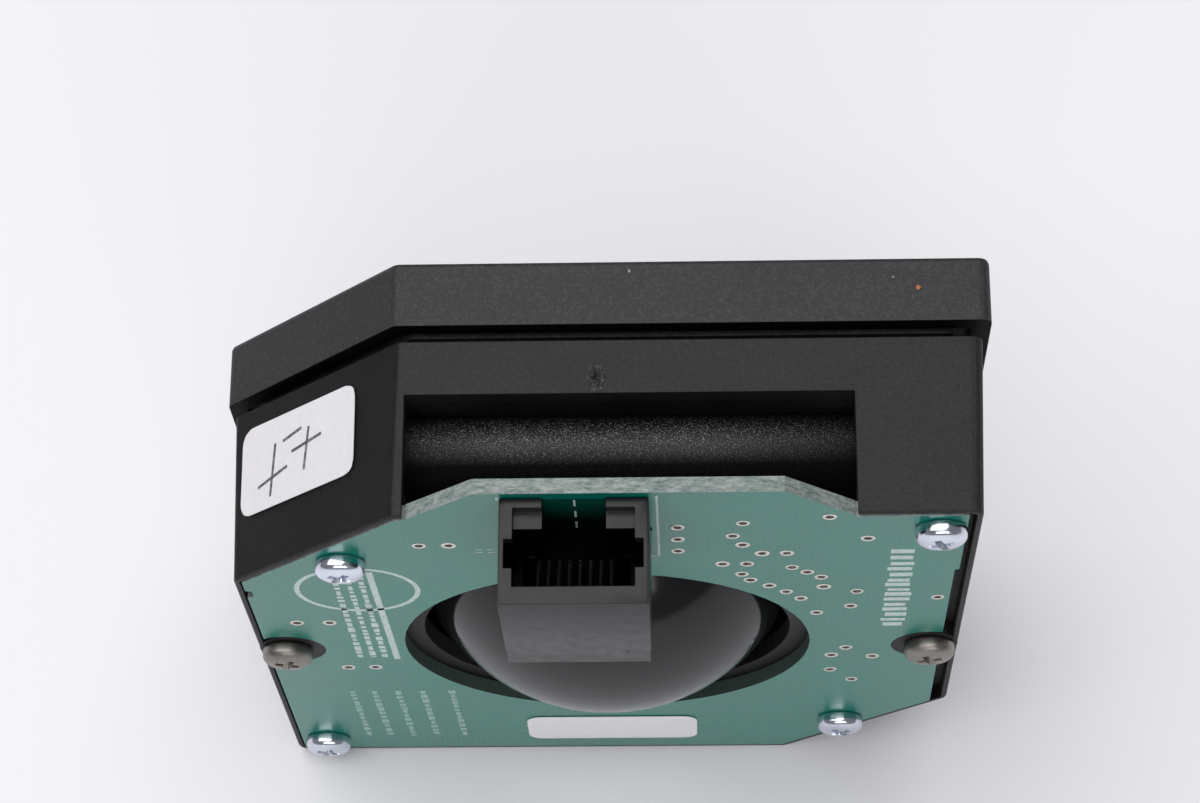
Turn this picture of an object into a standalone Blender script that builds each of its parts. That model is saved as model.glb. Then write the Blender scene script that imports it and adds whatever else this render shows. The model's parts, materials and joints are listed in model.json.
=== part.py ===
"""Panel trackball module: a two-part moulded housing around a 44.45 mm ball, with two roller shafts,
an idler, optical encoders and a circuit board that carries a modular jack.

Everything is drawn on the bench: X runs along the window wall, Y away from it into the module, and Z
(called t in the comments) is the thickness, from the board at 0 to the lid. One empty then stands the
module on its far edge, so that the window wall faces up.
"""

import math

import bmesh
import bpy

MM = 0.001
TAU = 2 * math.pi

# ---- driving sizes, in millimetres ----
WIDTH = 76.2            # base across, at the board rim
DEPTH = 76.8            # window wall to standing edge
CUT = 18.0              # legs of the two cut corners
BASE_T = 18.5           # height of the base
DRAFT = 0.62            # the base walls lean out by this much over their height
CUT_DRAFT = 0.2         # and the cut corners by this much
WALL = 2.2
FLOOR_T0, FLOOR_T1 = 1.65, 3.65
RIM = 0.6               # thin wall around the board
BOARD_PLAY = 0.25       # between that wall and the board
LID_T0, LID_T1 = 20.1, 27.15
LID_HALF = 39.7         # lid half width
LID_NEAR = 1.05         # lid overhang past the window wall
LID_SKEW = 0.8          # the lid's cut corners start this much further along its long walls
LID_PLATE = 2.5
LID_WALL = 2.0
TONGUE_T0 = 17.6
TONGUE_WALL = 1.2
BALL_R = 22.225         # 1 3/4 inch ball
BALL_Y, BALL_T = 38.4, 15.3
BORE_R = 19.9           # bore in the base floor, smaller than the ball
BOARD_T0, BOARD_T1 = -0.1, 1.5
BOARD_HOLE_R = 22.0
CONTACT_ANGLE = math.radians(15)    # rollers touch the ball this far below its equator
ROLL_GAP = 0.1
ROLLER_R, JOURNAL_R = 2.5, 1.5
IDLER_R = 3.5
BEARING_R, BEARING_W = 4.0, 3.0
WHEEL_R, WHEEL_SLOTS = 6.0, 18
POST_X, POST_Y, POST_R = 35.0, 39.6, 3.6
BOARD_SCREWS = {"near_right": (34.1, 4.2), "near_left": (-26.4, 12.4),
                "far_right": (26.2, 65.6), "far_left": (-34.1, 72.2)}
NOTCH = (-19.1, 25.78, 12.85)       # window: left, right, height
TROUGH_Y, TROUGH_T, TROUGH_R = 7.0, 8.1, 5.0
JACK_X, JACK_Y = -1.9, -5.2         # centre line and mouth of the jack
JACK_W, JACK_L, JACK_H = 14.5, 17.4, 11.0
PEG_OFF, PEG_BACK = 5.7, 9.0        # the jack's two pegs, from its centre line and its mouth
CONTACTS, CONTACT_PITCH = 8, 1.02
GAP = 0.3
BENCH_TO_Y = -13.21                 # the standing module's middle, across its thickness

ROLLER_OFF = (BALL_R + ROLLER_R + ROLL_GAP) * math.cos(CONTACT_ANGLE)
ROLLER_T = BALL_T - (BALL_R + ROLLER_R + ROLL_GAP) * math.sin(CONTACT_ANGLE)
IDLER_OFF = (BALL_R + IDLER_R + ROLL_GAP) * math.cos(CONTACT_ANGLE)
IDLER_T = BALL_T - (BALL_R + IDLER_R + ROLL_GAP) * math.sin(CONTACT_ANGLE)
SHAFT_Y = BALL_Y - ROLLER_OFF       # the shaft along X
SHAFT_X = -ROLLER_OFF               # the shaft along Y
IDLER_X = IDLER_OFF * math.sqrt(0.5)
IDLER_Y = BALL_Y + IDLER_OFF * math.sqrt(0.5)


# ---- scene helpers ----
def clear_scene():
    for ob in list(bpy.data.objects):
        bpy.data.objects.remove(ob, do_unlink=True)


def collection(name):
    col = bpy.data.collections.new(name)
    bpy.context.scene.collection.children.link(col)
    return col


def material(name, colour, roughness, metallic=0.0):
    mat = bpy.data.materials.new(name)
    mat.use_nodes = True
    shader = mat.node_tree.nodes["Principled BSDF"]
    shader.inputs["Base Color"].default_value = (*colour, 1)
    shader.inputs["Roughness"].default_value = roughness
    shader.inputs["Metallic"].default_value = metallic
    mat.diffuse_color = (*colour, 1)
    return mat


clear_scene()
PARTS = collection("trackball_module")
CUTTERS = collection("cutters")
STAND = bpy.data.objects.new("standing_pose", None)
PARTS.objects.link(STAND)
STAND.rotation_euler = (-math.pi / 2, 0, 0)
STAND.location = (0, BENCH_TO_Y * MM, DEPTH * MM)

HOUSING = material("housing_black", (0.020, 0.020, 0.021), 0.55)
BALL_BLACK = material("ball_black", (0.012, 0.012, 0.013), 0.08)
RING_BLACK = material("ring_black", (0.022, 0.022, 0.023), 0.4)
SEAL_GREY = material("seal_grey", (0.25, 0.25, 0.24), 0.9)
BOARD_GREEN = material("board_green", (0.004, 0.075, 0.040), 0.25)
JACK_BLACK = material("jack_black", (0.022, 0.021, 0.023), 0.35)
GOLD = material("contact_gold", (0.83, 0.62, 0.27), 0.25, 1.0)
ZINC = material("zinc_plate", (0.78, 0.80, 0.84), 0.2, 1.0)
NICKEL = material("nickel_plate", (0.56, 0.52, 0.48), 0.32, 1.0)
STEEL = material("shaft_steel", (0.62, 0.62, 0.63), 0.22, 1.0)
RACE = material("bearing_steel", (0.52, 0.52, 0.54), 0.28, 1.0)
WHEEL_BLACK = material("wheel_black", (0.03, 0.03, 0.03), 0.5)
CHIP_BLACK = material("chip_black", (0.03, 0.03, 0.032), 0.45)
LENS_CLEAR = material("emitter_resin", (0.55, 0.6, 0.75), 0.15)
LENS_DARK = material("detector_resin", (0.04, 0.03, 0.05), 0.15)
CAN = material("metal_can", (0.6, 0.6, 0.6), 0.3, 1.0)
PAPER = material("label_white", (0.82, 0.81, 0.83), 0.5)


def add(name, bm, mat, at=(0, 0, 0), turn=(0, 0, 0)):
    """Adds a mesh in millimetres as one object, part or cutter (mat None), placed on the bench."""
    bmesh.ops.scale(bm, vec=(MM, MM, MM), verts=bm.verts)
    bmesh.ops.recalc_face_normals(bm, faces=bm.faces)
    mesh = bpy.data.meshes.new(name)
    bm.to_mesh(mesh)
    bm.free()
    ob = bpy.data.objects.new(name, mesh)
    (PARTS if mat else CUTTERS).objects.link(ob)
    if mat:
        mesh.materials.append(mat)
    else:
        ob.hide_render = True
        ob.display_type = "WIRE"
    ob.parent = STAND
    ob.location = tuple(v * MM for v in at)
    ob.rotation_euler = turn
    return ob


def boolean(target, tool, operation="DIFFERENCE"):
    mod = target.modifiers.new(tool.name, "BOOLEAN")
    mod.operation = operation
    mod.object = tool
    mod.solver = "EXACT"


def bevel(ob, width, segments=2, weighted=False):
    mod = ob.modifiers.new("edges", "BEVEL")
    mod.width = width * MM
    mod.segments = segments
    mod.limit_method = "WEIGHT" if weighted else "ANGLE"
    mod.angle_limit = math.radians(50)


def smooth(ob, angle=35):
    ob.data.shade_smooth()
    ob.data.set_sharp_from_angle(angle=math.radians(angle))


def box(name, lo, hi, mat=None, turn=(0, 0, 0)):
    bm = bmesh.new()
    bmesh.ops.create_cube(bm, size=1)
    bmesh.ops.scale(bm, vec=[h - l for l, h in zip(lo, hi)], verts=bm.verts)
    return add(name, bm, mat, [(l + h) / 2 for l, h in zip(lo, hi)], turn)


def cylinder(name, radius, start, length, axis="Z", mat=None, steps=32, tip=None, turn=None):
    """A cylinder, or a cone down to radius tip, from start along an axis."""
    bm = bmesh.new()
    bmesh.ops.create_cone(bm, cap_ends=True, segments=steps, radius1=radius,
                          radius2=radius if tip is None else tip, depth=length)
    bmesh.ops.translate(bm, vec=(0, 0, length / 2), verts=bm.verts)
    turns = {"X": (0, math.pi / 2, 0), "Y": (-math.pi / 2, 0, 0), "Z": (0, 0, 0)}
    return add(name, bm, mat, start, turn or turns[axis])


def turned(name, profile, at, mat=None, axis="Z", turn=None, steps=32, ring=False):
    """A profile of (radius, height) points turned about the local Z axis with a Screw modifier."""
    bm = bmesh.new()
    verts = [bm.verts.new((r, 0, h)) for r, h in profile]
    pairs = list(zip(verts, verts[1:])) + ([(verts[-1], verts[0])] if ring else [])
    for a, b in pairs:
        bm.edges.new((a, b))
    turns = {"X": (0, math.pi / 2, 0), "Y": (-math.pi / 2, 0, 0), "Z": (0, 0, 0)}
    ob = add(name, bm, mat, at, turn or turns[axis])
    mod = ob.modifiers.new("turn", "SCREW")
    mod.steps = mod.render_steps = steps
    mod.use_merge_vertices = True
    mod.merge_threshold = 1e-6
    return ob


def rounded(corners, radii, steps=4):
    """An outline whose corners are replaced by arcs; a radius of 0 keeps the corner sharp."""
    points = []
    n = len(corners)
    for i, (x, y) in enumerate(corners):
        radius = radii[i] if isinstance(radii, (list, tuple)) else radii
        if radius <= 0:
            points.append((x, y))
            continue
        ax, ay = corners[i - 1]
        bx, by = corners[(i + 1) % n]
        ua = ((ax - x) / math.hypot(ax - x, ay - y), (ay - y) / math.hypot(ax - x, ay - y))
        ub = ((bx - x) / math.hypot(bx - x, by - y), (by - y) / math.hypot(bx - x, by - y))
        half = math.acos(max(-1, min(1, ua[0] * ub[0] + ua[1] * ub[1]))) / 2
        reach = radius / math.tan(half)
        mid = (ua[0] + ub[0], ua[1] + ub[1])
        scale = radius / math.sin(half) / math.hypot(*mid)
        cx, cy = x + mid[0] * scale, y + mid[1] * scale
        a0 = math.atan2(y + ua[1] * reach - cy, x + ua[0] * reach - cx)
        a1 = math.atan2(y + ub[1] * reach - cy, x + ub[0] * reach - cx)
        sweep = (a1 - a0 + math.pi) % TAU - math.pi
        for k in range(steps + 1):
            a = a0 + sweep * k / steps
            points.append((cx + radius * math.cos(a), cy + radius * math.sin(a)))
    return points


def prism(name, outline, t0, t1, mat=None, top=None, axis="Z", weights=(0, 0)):
    """An outline extruded from t0 to t1, ending in the outline top if the sides lean.

    weights are the Bevel weights of the edges around the t0 face and the t1 face."""
    bm = bmesh.new()
    face = bm.faces.new([bm.verts.new((x, y, t0)) for x, y in outline])
    base_verts = list(face.verts)
    moved = bmesh.ops.extrude_face_region(bm, geom=[face])["geom"]
    top_verts = [v for v in moved if isinstance(v, bmesh.types.BMVert)]
    for (x, y), (u, v) in zip(outline, top or outline):
        match = min(top_verts, key=lambda vert: (vert.co.x - x) ** 2 + (vert.co.y - y) ** 2)
        top_verts.remove(match)
        match.co = (u, v, t1)
    layer = bm.edges.layers.float.new("bevel_weight_edge")
    for edge in bm.edges:
        low = [v in base_verts for v in edge.verts]
        if all(low):
            edge[layer] = weights[0]
        elif not any(low):
            edge[layer] = weights[1]
    turns = {"Z": (0, 0, 0), "X": (math.pi / 2, 0, math.pi / 2)}
    return add(name, bm, mat, turn=turns[axis])


def plan(side, near, far, lean, radius, skew=0.0):
    """The module's outline: a square with two opposite corners cut, offset by side, near and far."""
    near_cut = WIDTH / 2 - CUT + lean * math.sqrt(2)
    far_cut = WIDTH / 2 + DEPTH - CUT + lean * math.sqrt(2)
    corners = [(near - near_cut - skew, -near), (side, -near), (side, far_cut - side),
               (far_cut - far + skew, far), (-side, far), (-side, side - near_cut)]
    return rounded(corners, radius)


# ---- housing ----
def base_outline(offset, lean, radius=1.2):
    """The base's outline, its walls moved out by offset and its cut corners by lean."""
    return plan(WIDTH / 2 + offset, offset, DEPTH + min(offset, 0), lean, radius)


def board_outline():
    """The board: the base outline inside the rim, with the tab that carries the jack."""
    inner = RIM + BOARD_PLAY
    half = WIDTH / 2 - inner
    near_cut = WIDTH / 2 - CUT - inner * math.sqrt(2)
    far_cut = WIDTH / 2 + DEPTH - CUT - inner * math.sqrt(2)
    left, right = NOTCH[0] + 0.3, NOTCH[1] - 0.25
    tab, root, slope = -6.05, 0.6, 7.05
    side, step, nick = half - 0.55, 0.45, 0.7
    return [(-inner - near_cut, inner), (left, inner), (left, root), (left + slope, tab),
            (right - slope, tab), (right, root), (right, inner), (side, inner), (side, 16.0),
            (side - step, 16.2), (side - step, far_cut - side + step), (far_cut - DEPTH + inner, DEPTH - inner),
            (-half, DEPTH - inner), (-half, 22.8), (-half + nick, 22.6), (-half + nick, 21.0), (-half, 20.8),
            (-half, half - near_cut)]


def base_housing():
    base = prism("base_housing", base_outline(0, 0), 0, BASE_T, HOUSING, top=base_outline(DRAFT, CUT_DRAFT),
                 weights=(1, 0))
    bevel(base, 0.2, 1, weighted=True)
    half = WIDTH / 2 - RIM
    near_cut = WIDTH / 2 - CUT - RIM * math.sqrt(2)
    far_cut = WIDTH / 2 + DEPTH - CUT - RIM * math.sqrt(2)
    pocket = [(-RIM - near_cut, RIM), (half, RIM), (half, far_cut - half), (far_cut - DEPTH + RIM, DEPTH - RIM),
              (-half, DEPTH - RIM), (-half, half - near_cut)]
    boolean(base, prism("cut_board_pocket", rounded(pocket, 0.6, 2), -1, FLOOR_T0))
    boolean(base, prism("cut_cavity", base_outline(-WALL, -WALL, 1.0), FLOOR_T1, BASE_T + 1,
                        top=base_outline(DRAFT - WALL, CUT_DRAFT - WALL, 1.0)))
    left, right, height = NOTCH
    boolean(base, box("cut_window", (left, -4, -2), (right, WALL + 0.1, height)))
    boolean(base, box("cut_window_floor", (left, WALL - 0.1, -2), (right, TROUGH_Y - 1.0, FLOOR_T1 + 0.3)))
    for tool in trough_pieces() + posts() + saddles() + idler_ears():
        boolean(base, tool, "UNION")
    boolean(base, cylinder("cut_ball_bore", BORE_R, (0, BALL_Y, 0), FLOOR_T1 + 1, steps=64))
    for name, (x0, x1, y0, y1) in FLOOR_WINDOWS.items():
        boolean(base, box(f"cut_floor_{name}", (x0, y0, FLOOR_T0 - 1), (x1, y1, FLOOR_T1 + 0.5)))
    for name, (x, y) in BOARD_SCREWS.items():
        boolean(base, cylinder(f"cut_boss_{name}", 1.45, (x, y, 0), 8.2, steps=16))
    for side in (-1, 1):
        tag = "right" if side > 0 else "left"
        boolean(base, cylinder(f"cut_post_{tag}", 1.7, (side * POST_X, POST_Y, -1), 20, steps=20))
        boolean(base, cylinder(f"cut_lid_boss_room_{tag}", 3.0, (side * POST_X, POST_Y, 15.7), 5, steps=24))
    smooth(base)


FLOOR_WINDOWS = {
    "jack_pins": (-6.6, 2.8, 7.3, 11.8),
    "x_encoder": (27.5, 34.6, 10.2, 18.6),
    "y_encoder": (SHAFT_X - 4.2, SHAFT_X + 4.2, 65.4, 72.6),
    "controller": (12.3, 23.4, 7.9, 18.4),
    "crystal": (3.6, 16.6, 64.6, 70.6),
    "capacitor": (-14.6, -7.4, 63.6, 70.8),
    "driver": (-34.9, -29.8, 23.4, 30.6),
}


def trough_pieces():
    """The half-round wall behind the window, its shelf and its two end walls."""
    x0, x1 = NOTCH[0] - 1.3, NOTCH[1] + 1.3
    arc = [math.pi / 2 + math.pi * k / 14 for k in range(15)]
    outer = [(TROUGH_Y + TROUGH_R * math.cos(a), TROUGH_T + TROUGH_R * math.sin(a)) for a in arc]
    hollow = TROUGH_R - 1.2
    inner = [(TROUGH_Y + hollow * math.cos(a), TROUGH_T + hollow * math.sin(a)) for a in arc]
    pieces = [prism("add_trough", outer + inner[::-1], x0, x1, axis="X")]
    pieces.append(box("add_shelf", (x0, 1.0, NOTCH[2] + 0.15), (x1, TROUGH_Y + 0.4, NOTCH[2] + 1.5)))
    pieces.append(box("add_shelf_lip", (x0, TROUGH_Y - 0.9, 11.6), (x1, TROUGH_Y + 0.25, NOTCH[2] + 1.0)))
    pieces.append(box("add_sill", (x0, TROUGH_Y - 0.8, FLOOR_T0 + 0.4), (x1, TROUGH_Y + 0.2, 4.4)))
    for name, x in (("left", x0), ("right", x1 - 1.15)):
        pieces.append(box(f"add_trough_end_{name}", (x, 1.4, 2.4), (x + 1.15, TROUGH_Y + 0.3, NOTCH[2] + 0.9)))
    return pieces


def posts():
    """Two posts for the housing screws, and a boss for each board screw."""
    pieces = []
    for side in (-1, 1):
        pieces.append(cylinder(f"add_post_{'right' if side > 0 else 'left'}", POST_R,
                               (side * POST_X * 0.986, POST_Y, 0.02), 15.68, steps=28))
    for name, (x, y) in BOARD_SCREWS.items():
        pieces.append(cylinder(f"add_boss_{name}", 2.6, (x, y, FLOOR_T0 + 0.3), 7.6, steps=20))
    return pieces


X_BEARINGS = {"left": -14.0, "right": 25.6}
Y_BEARINGS = {"near": 24.4, "far": 63.4}


def saddles():
    """Blocks with an open round seat, one under each shaft bearing. Each seat is cut from its block."""
    pieces = []
    half, reach, top = BEARING_W / 2 + 0.2, 5.0, 11.0
    for name, x in X_BEARINGS.items():
        block = box(f"add_saddle_x_{name}", (x - half, SHAFT_Y - reach, FLOOR_T1 - 0.6),
                    (x + half, SHAFT_Y + reach, top))
        boolean(block, cylinder(f"cut_seat_x_{name}", BEARING_R + 0.15, (x - 5, SHAFT_Y, ROLLER_T), 10, "X"))
        boolean(block, box(f"cut_seat_x_mouth_{name}", (x - 5, SHAFT_Y - 4.15, ROLLER_T),
                           (x + 5, SHAFT_Y + 4.15, top + 2)))
        pieces.append(block)
    for name, y in Y_BEARINGS.items():
        block = box(f"add_saddle_y_{name}", (SHAFT_X - reach, y - half, FLOOR_T1 - 0.6),
                    (SHAFT_X + reach, y + half, top))
        boolean(block, cylinder(f"cut_seat_y_{name}", BEARING_R + 0.15, (SHAFT_X, y - 5, ROLLER_T), 10, "Y"))
        boolean(block, box(f"cut_seat_y_mouth_{name}", (SHAFT_X - 4.15, y - 5, ROLLER_T),
                           (SHAFT_X + 4.15, y + 5, top + 2)))
        pieces.append(block)
    return pieces


IDLER_TURN = (0, math.pi / 2, -math.pi / 4)     # turns local Z to the idler's axis


def idler_point(along):
    return (IDLER_X + along * math.sqrt(0.5), IDLER_Y - along * math.sqrt(0.5), IDLER_T)


def idler_ears():
    """Two slotted ears that hold the idler's axle."""
    pieces = []
    top = 10.6
    for name, along in (("a", -4.2), ("b", 4.2)):
        x, y, _ = idler_point(along)
        ear = box(f"add_ear_{name}", (x - 1, y - 2.6, FLOOR_T1 - 0.6), (x + 1, y + 2.6, top),
                  turn=(0, 0, -math.pi / 4))
        boolean(ear, cylinder(f"cut_ear_{name}", 1.65, idler_point(along - 3), 6, steps=16, turn=IDLER_TURN))
        boolean(ear, box(f"cut_ear_mouth_{name}", (x - 3, y - 1.65, IDLER_T), (x + 3, y + 1.65, top + 2),
                         turn=(0, 0, -math.pi / 4)))
        pieces.append(ear)
    return pieces


def lid_outline(inset=0.0, radius=1.2):
    lean = 0.35 - inset
    return plan(LID_HALF - inset, LID_NEAR - inset, DEPTH - inset, lean, max(radius - inset, 0.4), LID_SKEW)


def top_housing():
    lid = prism("top_housing", lid_outline(), LID_T0, LID_T1, HOUSING, weights=(0.25, 1))
    bevel(lid, 0.5, 2, weighted=True)
    boolean(lid, prism("cut_lid_hollow", lid_outline(LID_WALL), LID_T0 - 1, LID_T1 - LID_PLATE))
    boolean(lid, lid_tongue(), "UNION")
    collar = turned("add_ball_collar", [(25.7, 25.3), (25.7, 20.3), (22.7, 20.3), (22.7, 21.3), (24.2, 21.3),
                                        (24.2, 25.3)], (0, BALL_Y, 0), steps=64, ring=True)
    boolean(lid, collar, "UNION")
    for tool in lid_ribs():
        boolean(lid, tool, "UNION")
    boolean(lid, cylinder("cut_aperture", 22.5, (0, BALL_Y, 22.7), 8, steps=60))
    boolean(lid, cylinder("cut_ring_seat", 23.8, (0, BALL_Y, LID_T1 - 1.05), 3, steps=64))
    for side in (-1, 1):
        tag = "right" if side > 0 else "left"
        boolean(lid, cylinder(f"cut_lid_screw_{tag}", 1.45, (side * POST_X, POST_Y, 14), 9.8, steps=16))
    boolean(lid, box("cut_tongue_slot", (27.3, 0.5, 16), (29.9, 6, 19.6)))
    smooth(lid)


def lid_tongue():
    """The ring of thin wall below the lid that centres it inside the base."""
    play = WALL + 0.35
    outer = base_outline(DRAFT - play, CUT_DRAFT - play, 1.0)
    inner = base_outline(DRAFT - play - TONGUE_WALL, CUT_DRAFT - play - TONGUE_WALL, 1.0)
    tongue = prism("add_tongue", outer, TONGUE_T0, LID_T0 + 2)
    boolean(tongue, prism("cut_tongue", inner, TONGUE_T0 - 1, LID_T0 + 3))
    floor = prism("add_tongue_flange", lid_outline(0.4), LID_T0 + 0.5, LID_T0 + 1.9)
    boolean(floor, prism("cut_tongue_flange", inner, LID_T0 - 1, LID_T0 + 3))
    boolean(tongue, floor, "UNION")
    return tongue


def lid_ribs():
    """Ribs that hold the bearings down, and the two screw bosses."""
    pieces = []
    foot = ROLLER_T + BEARING_R + 0.3
    for name, x in X_BEARINGS.items():
        pieces.append(box(f"add_rib_x_{name}", (x - 1.1, SHAFT_Y - 2.6, foot), (x + 1.1, SHAFT_Y + 2.6, 25.4)))
    for name, y in Y_BEARINGS.items():
        pieces.append(box(f"add_rib_y_{name}", (SHAFT_X - 2.6, y - 1.1, foot), (SHAFT_X + 2.6, y + 1.1, 25.4)))
    for side in (-1, 1):
        pieces.append(cylinder(f"add_lid_boss_{'right' if side > 0 else 'left'}", 2.6,
                               (side * POST_X, POST_Y, 16.0), 9.3, steps=24))
    return pieces


def ball_rings():
    """The ring that keeps the ball in, flush with the lid, and the wiper seal under it."""
    face, step = LID_T1 - 0.05, LID_T1 - 0.9
    ring = turned("retaining_ring", [(23.55, face), (23.55, step), (22.35, step), (22.35, 24.1), (21.1, 24.1),
                                     (19.25, face)], (0, BALL_Y, 0), RING_BLACK, steps=64, ring=True)
    seal = turned("wiper_seal", [(24.0, 23.8), (24.0, 21.5), (21.75, 21.5), (21.55, 23.8)],
                  (0, BALL_Y, 0), SEAL_GREY, steps=64, ring=True)
    smooth(ring)
    smooth(seal)


# ---- ball, shafts and idler ----
def trackball():
    bm = bmesh.new()
    bmesh.ops.create_uvsphere(bm, u_segments=36, v_segments=18, radius=BALL_R)
    ball = add("trackball", bm, BALL_BLACK, (0, BALL_Y, BALL_T), (0, math.pi / 2, 0))
    ball.data.shade_smooth()


def shaft(name, at, axis, low, high, roller_low, roller_high):
    """A stepped roller shaft about its own origin, which sits on the joint axis beside the ball."""
    profile = [(0, high), (JOURNAL_R - 0.3, high), (JOURNAL_R, high - 0.3), (JOURNAL_R, roller_high),
               (ROLLER_R - 0.2, roller_high), (ROLLER_R, roller_high - 0.2), (ROLLER_R, roller_low + 0.2),
               (ROLLER_R - 0.2, roller_low), (JOURNAL_R, roller_low), (JOURNAL_R, low + 0.3),
               (JOURNAL_R - 0.3, low), (0, low)]
    smooth(turned(name, profile, at, STEEL, axis, steps=24))


def encoder_wheel(name, at, axis):
    """A slotted disc on a hub."""
    points = []
    for k in range(WHEEL_SLOTS):
        for r, share in ((WHEEL_R, -0.25), (WHEEL_R, 0.25), (WHEEL_R - 1.5, 0.25), (WHEEL_R - 1.5, 0.75)):
            a = TAU * (k + share) / WHEEL_SLOTS
            points.append((r * math.cos(a), r * math.sin(a)))
    disc = prism(name, points, -0.4, 0.4, WHEEL_BLACK)
    turns = {"X": (0, math.pi / 2, 0), "Y": (-math.pi / 2, 0, 0)}
    disc.location = tuple(v * MM for v in at)
    disc.rotation_euler = turns[axis]
    hub = cylinder(f"add_hub_{name}", 2.4, hub_start(at, axis, -1.0), 2.0, axis, steps=24)
    boolean(disc, hub, "UNION")
    boolean(disc, cylinder(f"cut_hub_{name}", JOURNAL_R + 0.05, hub_start(at, axis, -3), 6, axis, steps=24))
    smooth(disc)


def hub_start(at, axis, along):
    return (at[0] + along, at[1], at[2]) if axis == "X" else (at[0], at[1] + along, at[2])


def bearing(name, at, axis):
    half = BEARING_W / 2
    inner = JOURNAL_R + 0.08
    profile = [(BEARING_R - 0.2, half), (BEARING_R, half - 0.2), (BEARING_R, 0.2 - half),
               (BEARING_R - 0.2, -half), (inner, -half), (inner, half)]
    smooth(turned(name, profile, at, RACE, axis, steps=24, ring=True))


def roller_sets():
    x_at = (0, SHAFT_Y, ROLLER_T)
    shaft("x_roller_shaft", x_at, "X", -16.2, 32.6, -12.0, 23.6)
    encoder_wheel("x_encoder_wheel", (31.0, SHAFT_Y, ROLLER_T), "X")
    for name, x in X_BEARINGS.items():
        bearing(f"x_bearing_{name}", (x, SHAFT_Y, ROLLER_T), "X")
    y_at = (SHAFT_X, BALL_Y, ROLLER_T)
    shaft("y_roller_shaft", y_at, "Y", 22.2 - BALL_Y, 70.6 - BALL_Y, 26.4 - BALL_Y, 61.4 - BALL_Y)
    encoder_wheel("y_encoder_wheel", (SHAFT_X, 69.0, ROLLER_T), "Y")
    for name, y in Y_BEARINGS.items():
        bearing(f"y_bearing_{name}", (SHAFT_X, y, ROLLER_T), "Y")


def idler():
    smooth(cylinder("idler_axle", 1.5, idler_point(-5.8), 11.6, mat=STEEL, steps=20, turn=IDLER_TURN))
    profile = [(IDLER_R - 0.3, 2), (IDLER_R, 1.7), (IDLER_R, -1.7), (IDLER_R - 0.3, -2), (1.58, -2), (1.58, 2)]
    smooth(turned("idler_roller", profile, idler_point(0), RACE, turn=IDLER_TURN, steps=28, ring=True))


# ---- circuit board, jack and electronics ----
def circuit_board():
    board = prism("circuit_board", board_outline(), BOARD_T0, BOARD_T1, BOARD_GREEN)
    boolean(board, cylinder("cut_board_hole", BOARD_HOLE_R, (0, BALL_Y, -3), 8, steps=64))
    for side in (-1, 1):
        tag = "right" if side > 0 else "left"
        peg = (JACK_X + side * PEG_OFF, JACK_Y + PEG_BACK, -3)
        post = (side * POST_X, POST_Y, -3)
        boolean(board, cylinder(f"cut_board_side_{tag}", POST_R + 0.55, post, 8, steps=28))
        boolean(board, cylinder(f"cut_board_peg_{tag}", 1.75, peg, 8, steps=16))
    for name, (x, y) in BOARD_SCREWS.items():
        boolean(board, cylinder(f"cut_board_screw_{name}", 1.7, (x, y, -3), 8, steps=16))
    for k in range(CONTACTS):
        x, y = pin_place(k)
        boolean(board, cylinder(f"cut_board_pin_{k + 1}", 0.5, (x, y, -3), 8, steps=6))


def pin_place(k):
    """Where contact k passes through the board: two staggered rows behind the jack."""
    x = JACK_X + (k - (CONTACTS - 1) / 2) * CONTACT_PITCH
    return x, JACK_Y + (13.4 if k % 2 else 15.6)


def modular_jack():
    """The jack's shell: mouth towards -Y, latch side on the board."""
    x, y, top = JACK_X, JACK_Y, BOARD_T0 - 0.1
    half, bottom = JACK_W / 2, BOARD_T0 - JACK_H
    profile = [(y + 0.0, top), (y + JACK_L, top), (y + JACK_L, bottom), (y + 0.4, bottom), (y, bottom + 0.4)]
    jack = prism("modular_jack", profile, x - half, x + half, JACK_BLACK, axis="X")
    cuts = {
        "mouth": ((x - 5.92, y - 1, -9.3), (x + 5.92, y + 8.9, -2.9)),
        "lead_in": ((x - 5.92, y - 1, -3.2), (x + 5.92, y + 1.1, -1.1)),
        "latch": ((x - 3.1, y - 1, -3.2), (x + 3.1, y + 9.0, 1)),
        "keys": ((x - 6.75, y - 1, -7.4), (x + 6.75, y + 8.9, -4.4)),
        "rear": ((x - 5.3, y + 8.5, -9.3), (x + 5.3, y + JACK_L - 0.9, 1)),
    }
    for name, (lo, hi) in cuts.items():
        boolean(jack, box(f"cut_jack_{name}", lo, hi))
    for side in (-1, 1):
        boolean(jack, cylinder(f"add_peg_{'right' if side > 0 else 'left'}", 1.55,
                               (x + side * PEG_OFF, y + PEG_BACK, top - 0.7), 2.1, steps=16), "UNION")
    smooth(jack, 30)
    box("contact_carrier", (x - 3.9, y + 9.2, -8.5), (x + 3.9, y + 12.6, -0.5), JACK_BLACK)


def wire(name, points, radius, mat):
    """A bent wire: a POLY curve with a round bevel, turned into a mesh with welded caps."""
    curve = bpy.data.curves.new(name, "CURVE")
    curve.dimensions = "3D"
    curve.bevel_depth = radius * MM
    curve.bevel_resolution = 1
    curve.use_fill_caps = True
    spline = curve.splines.new("POLY")
    spline.points.add(len(points) - 1)
    for point, co in zip(spline.points, points):
        point.co = (*[c * MM for c in co], 1)
    guide = bpy.data.objects.new(name + "_guide", curve)
    CUTTERS.objects.link(guide)
    mesh = bpy.data.meshes.new_from_object(guide.evaluated_get(bpy.context.evaluated_depsgraph_get()))
    bpy.data.objects.remove(guide)
    bm = bmesh.new()
    bm.from_mesh(mesh)
    bmesh.ops.remove_doubles(bm, verts=bm.verts, dist=1e-6)
    bmesh.ops.scale(bm, vec=(1 / MM, 1 / MM, 1 / MM), verts=bm.verts)
    ob = add(name, bm, mat)
    ob.data.shade_smooth()


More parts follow.
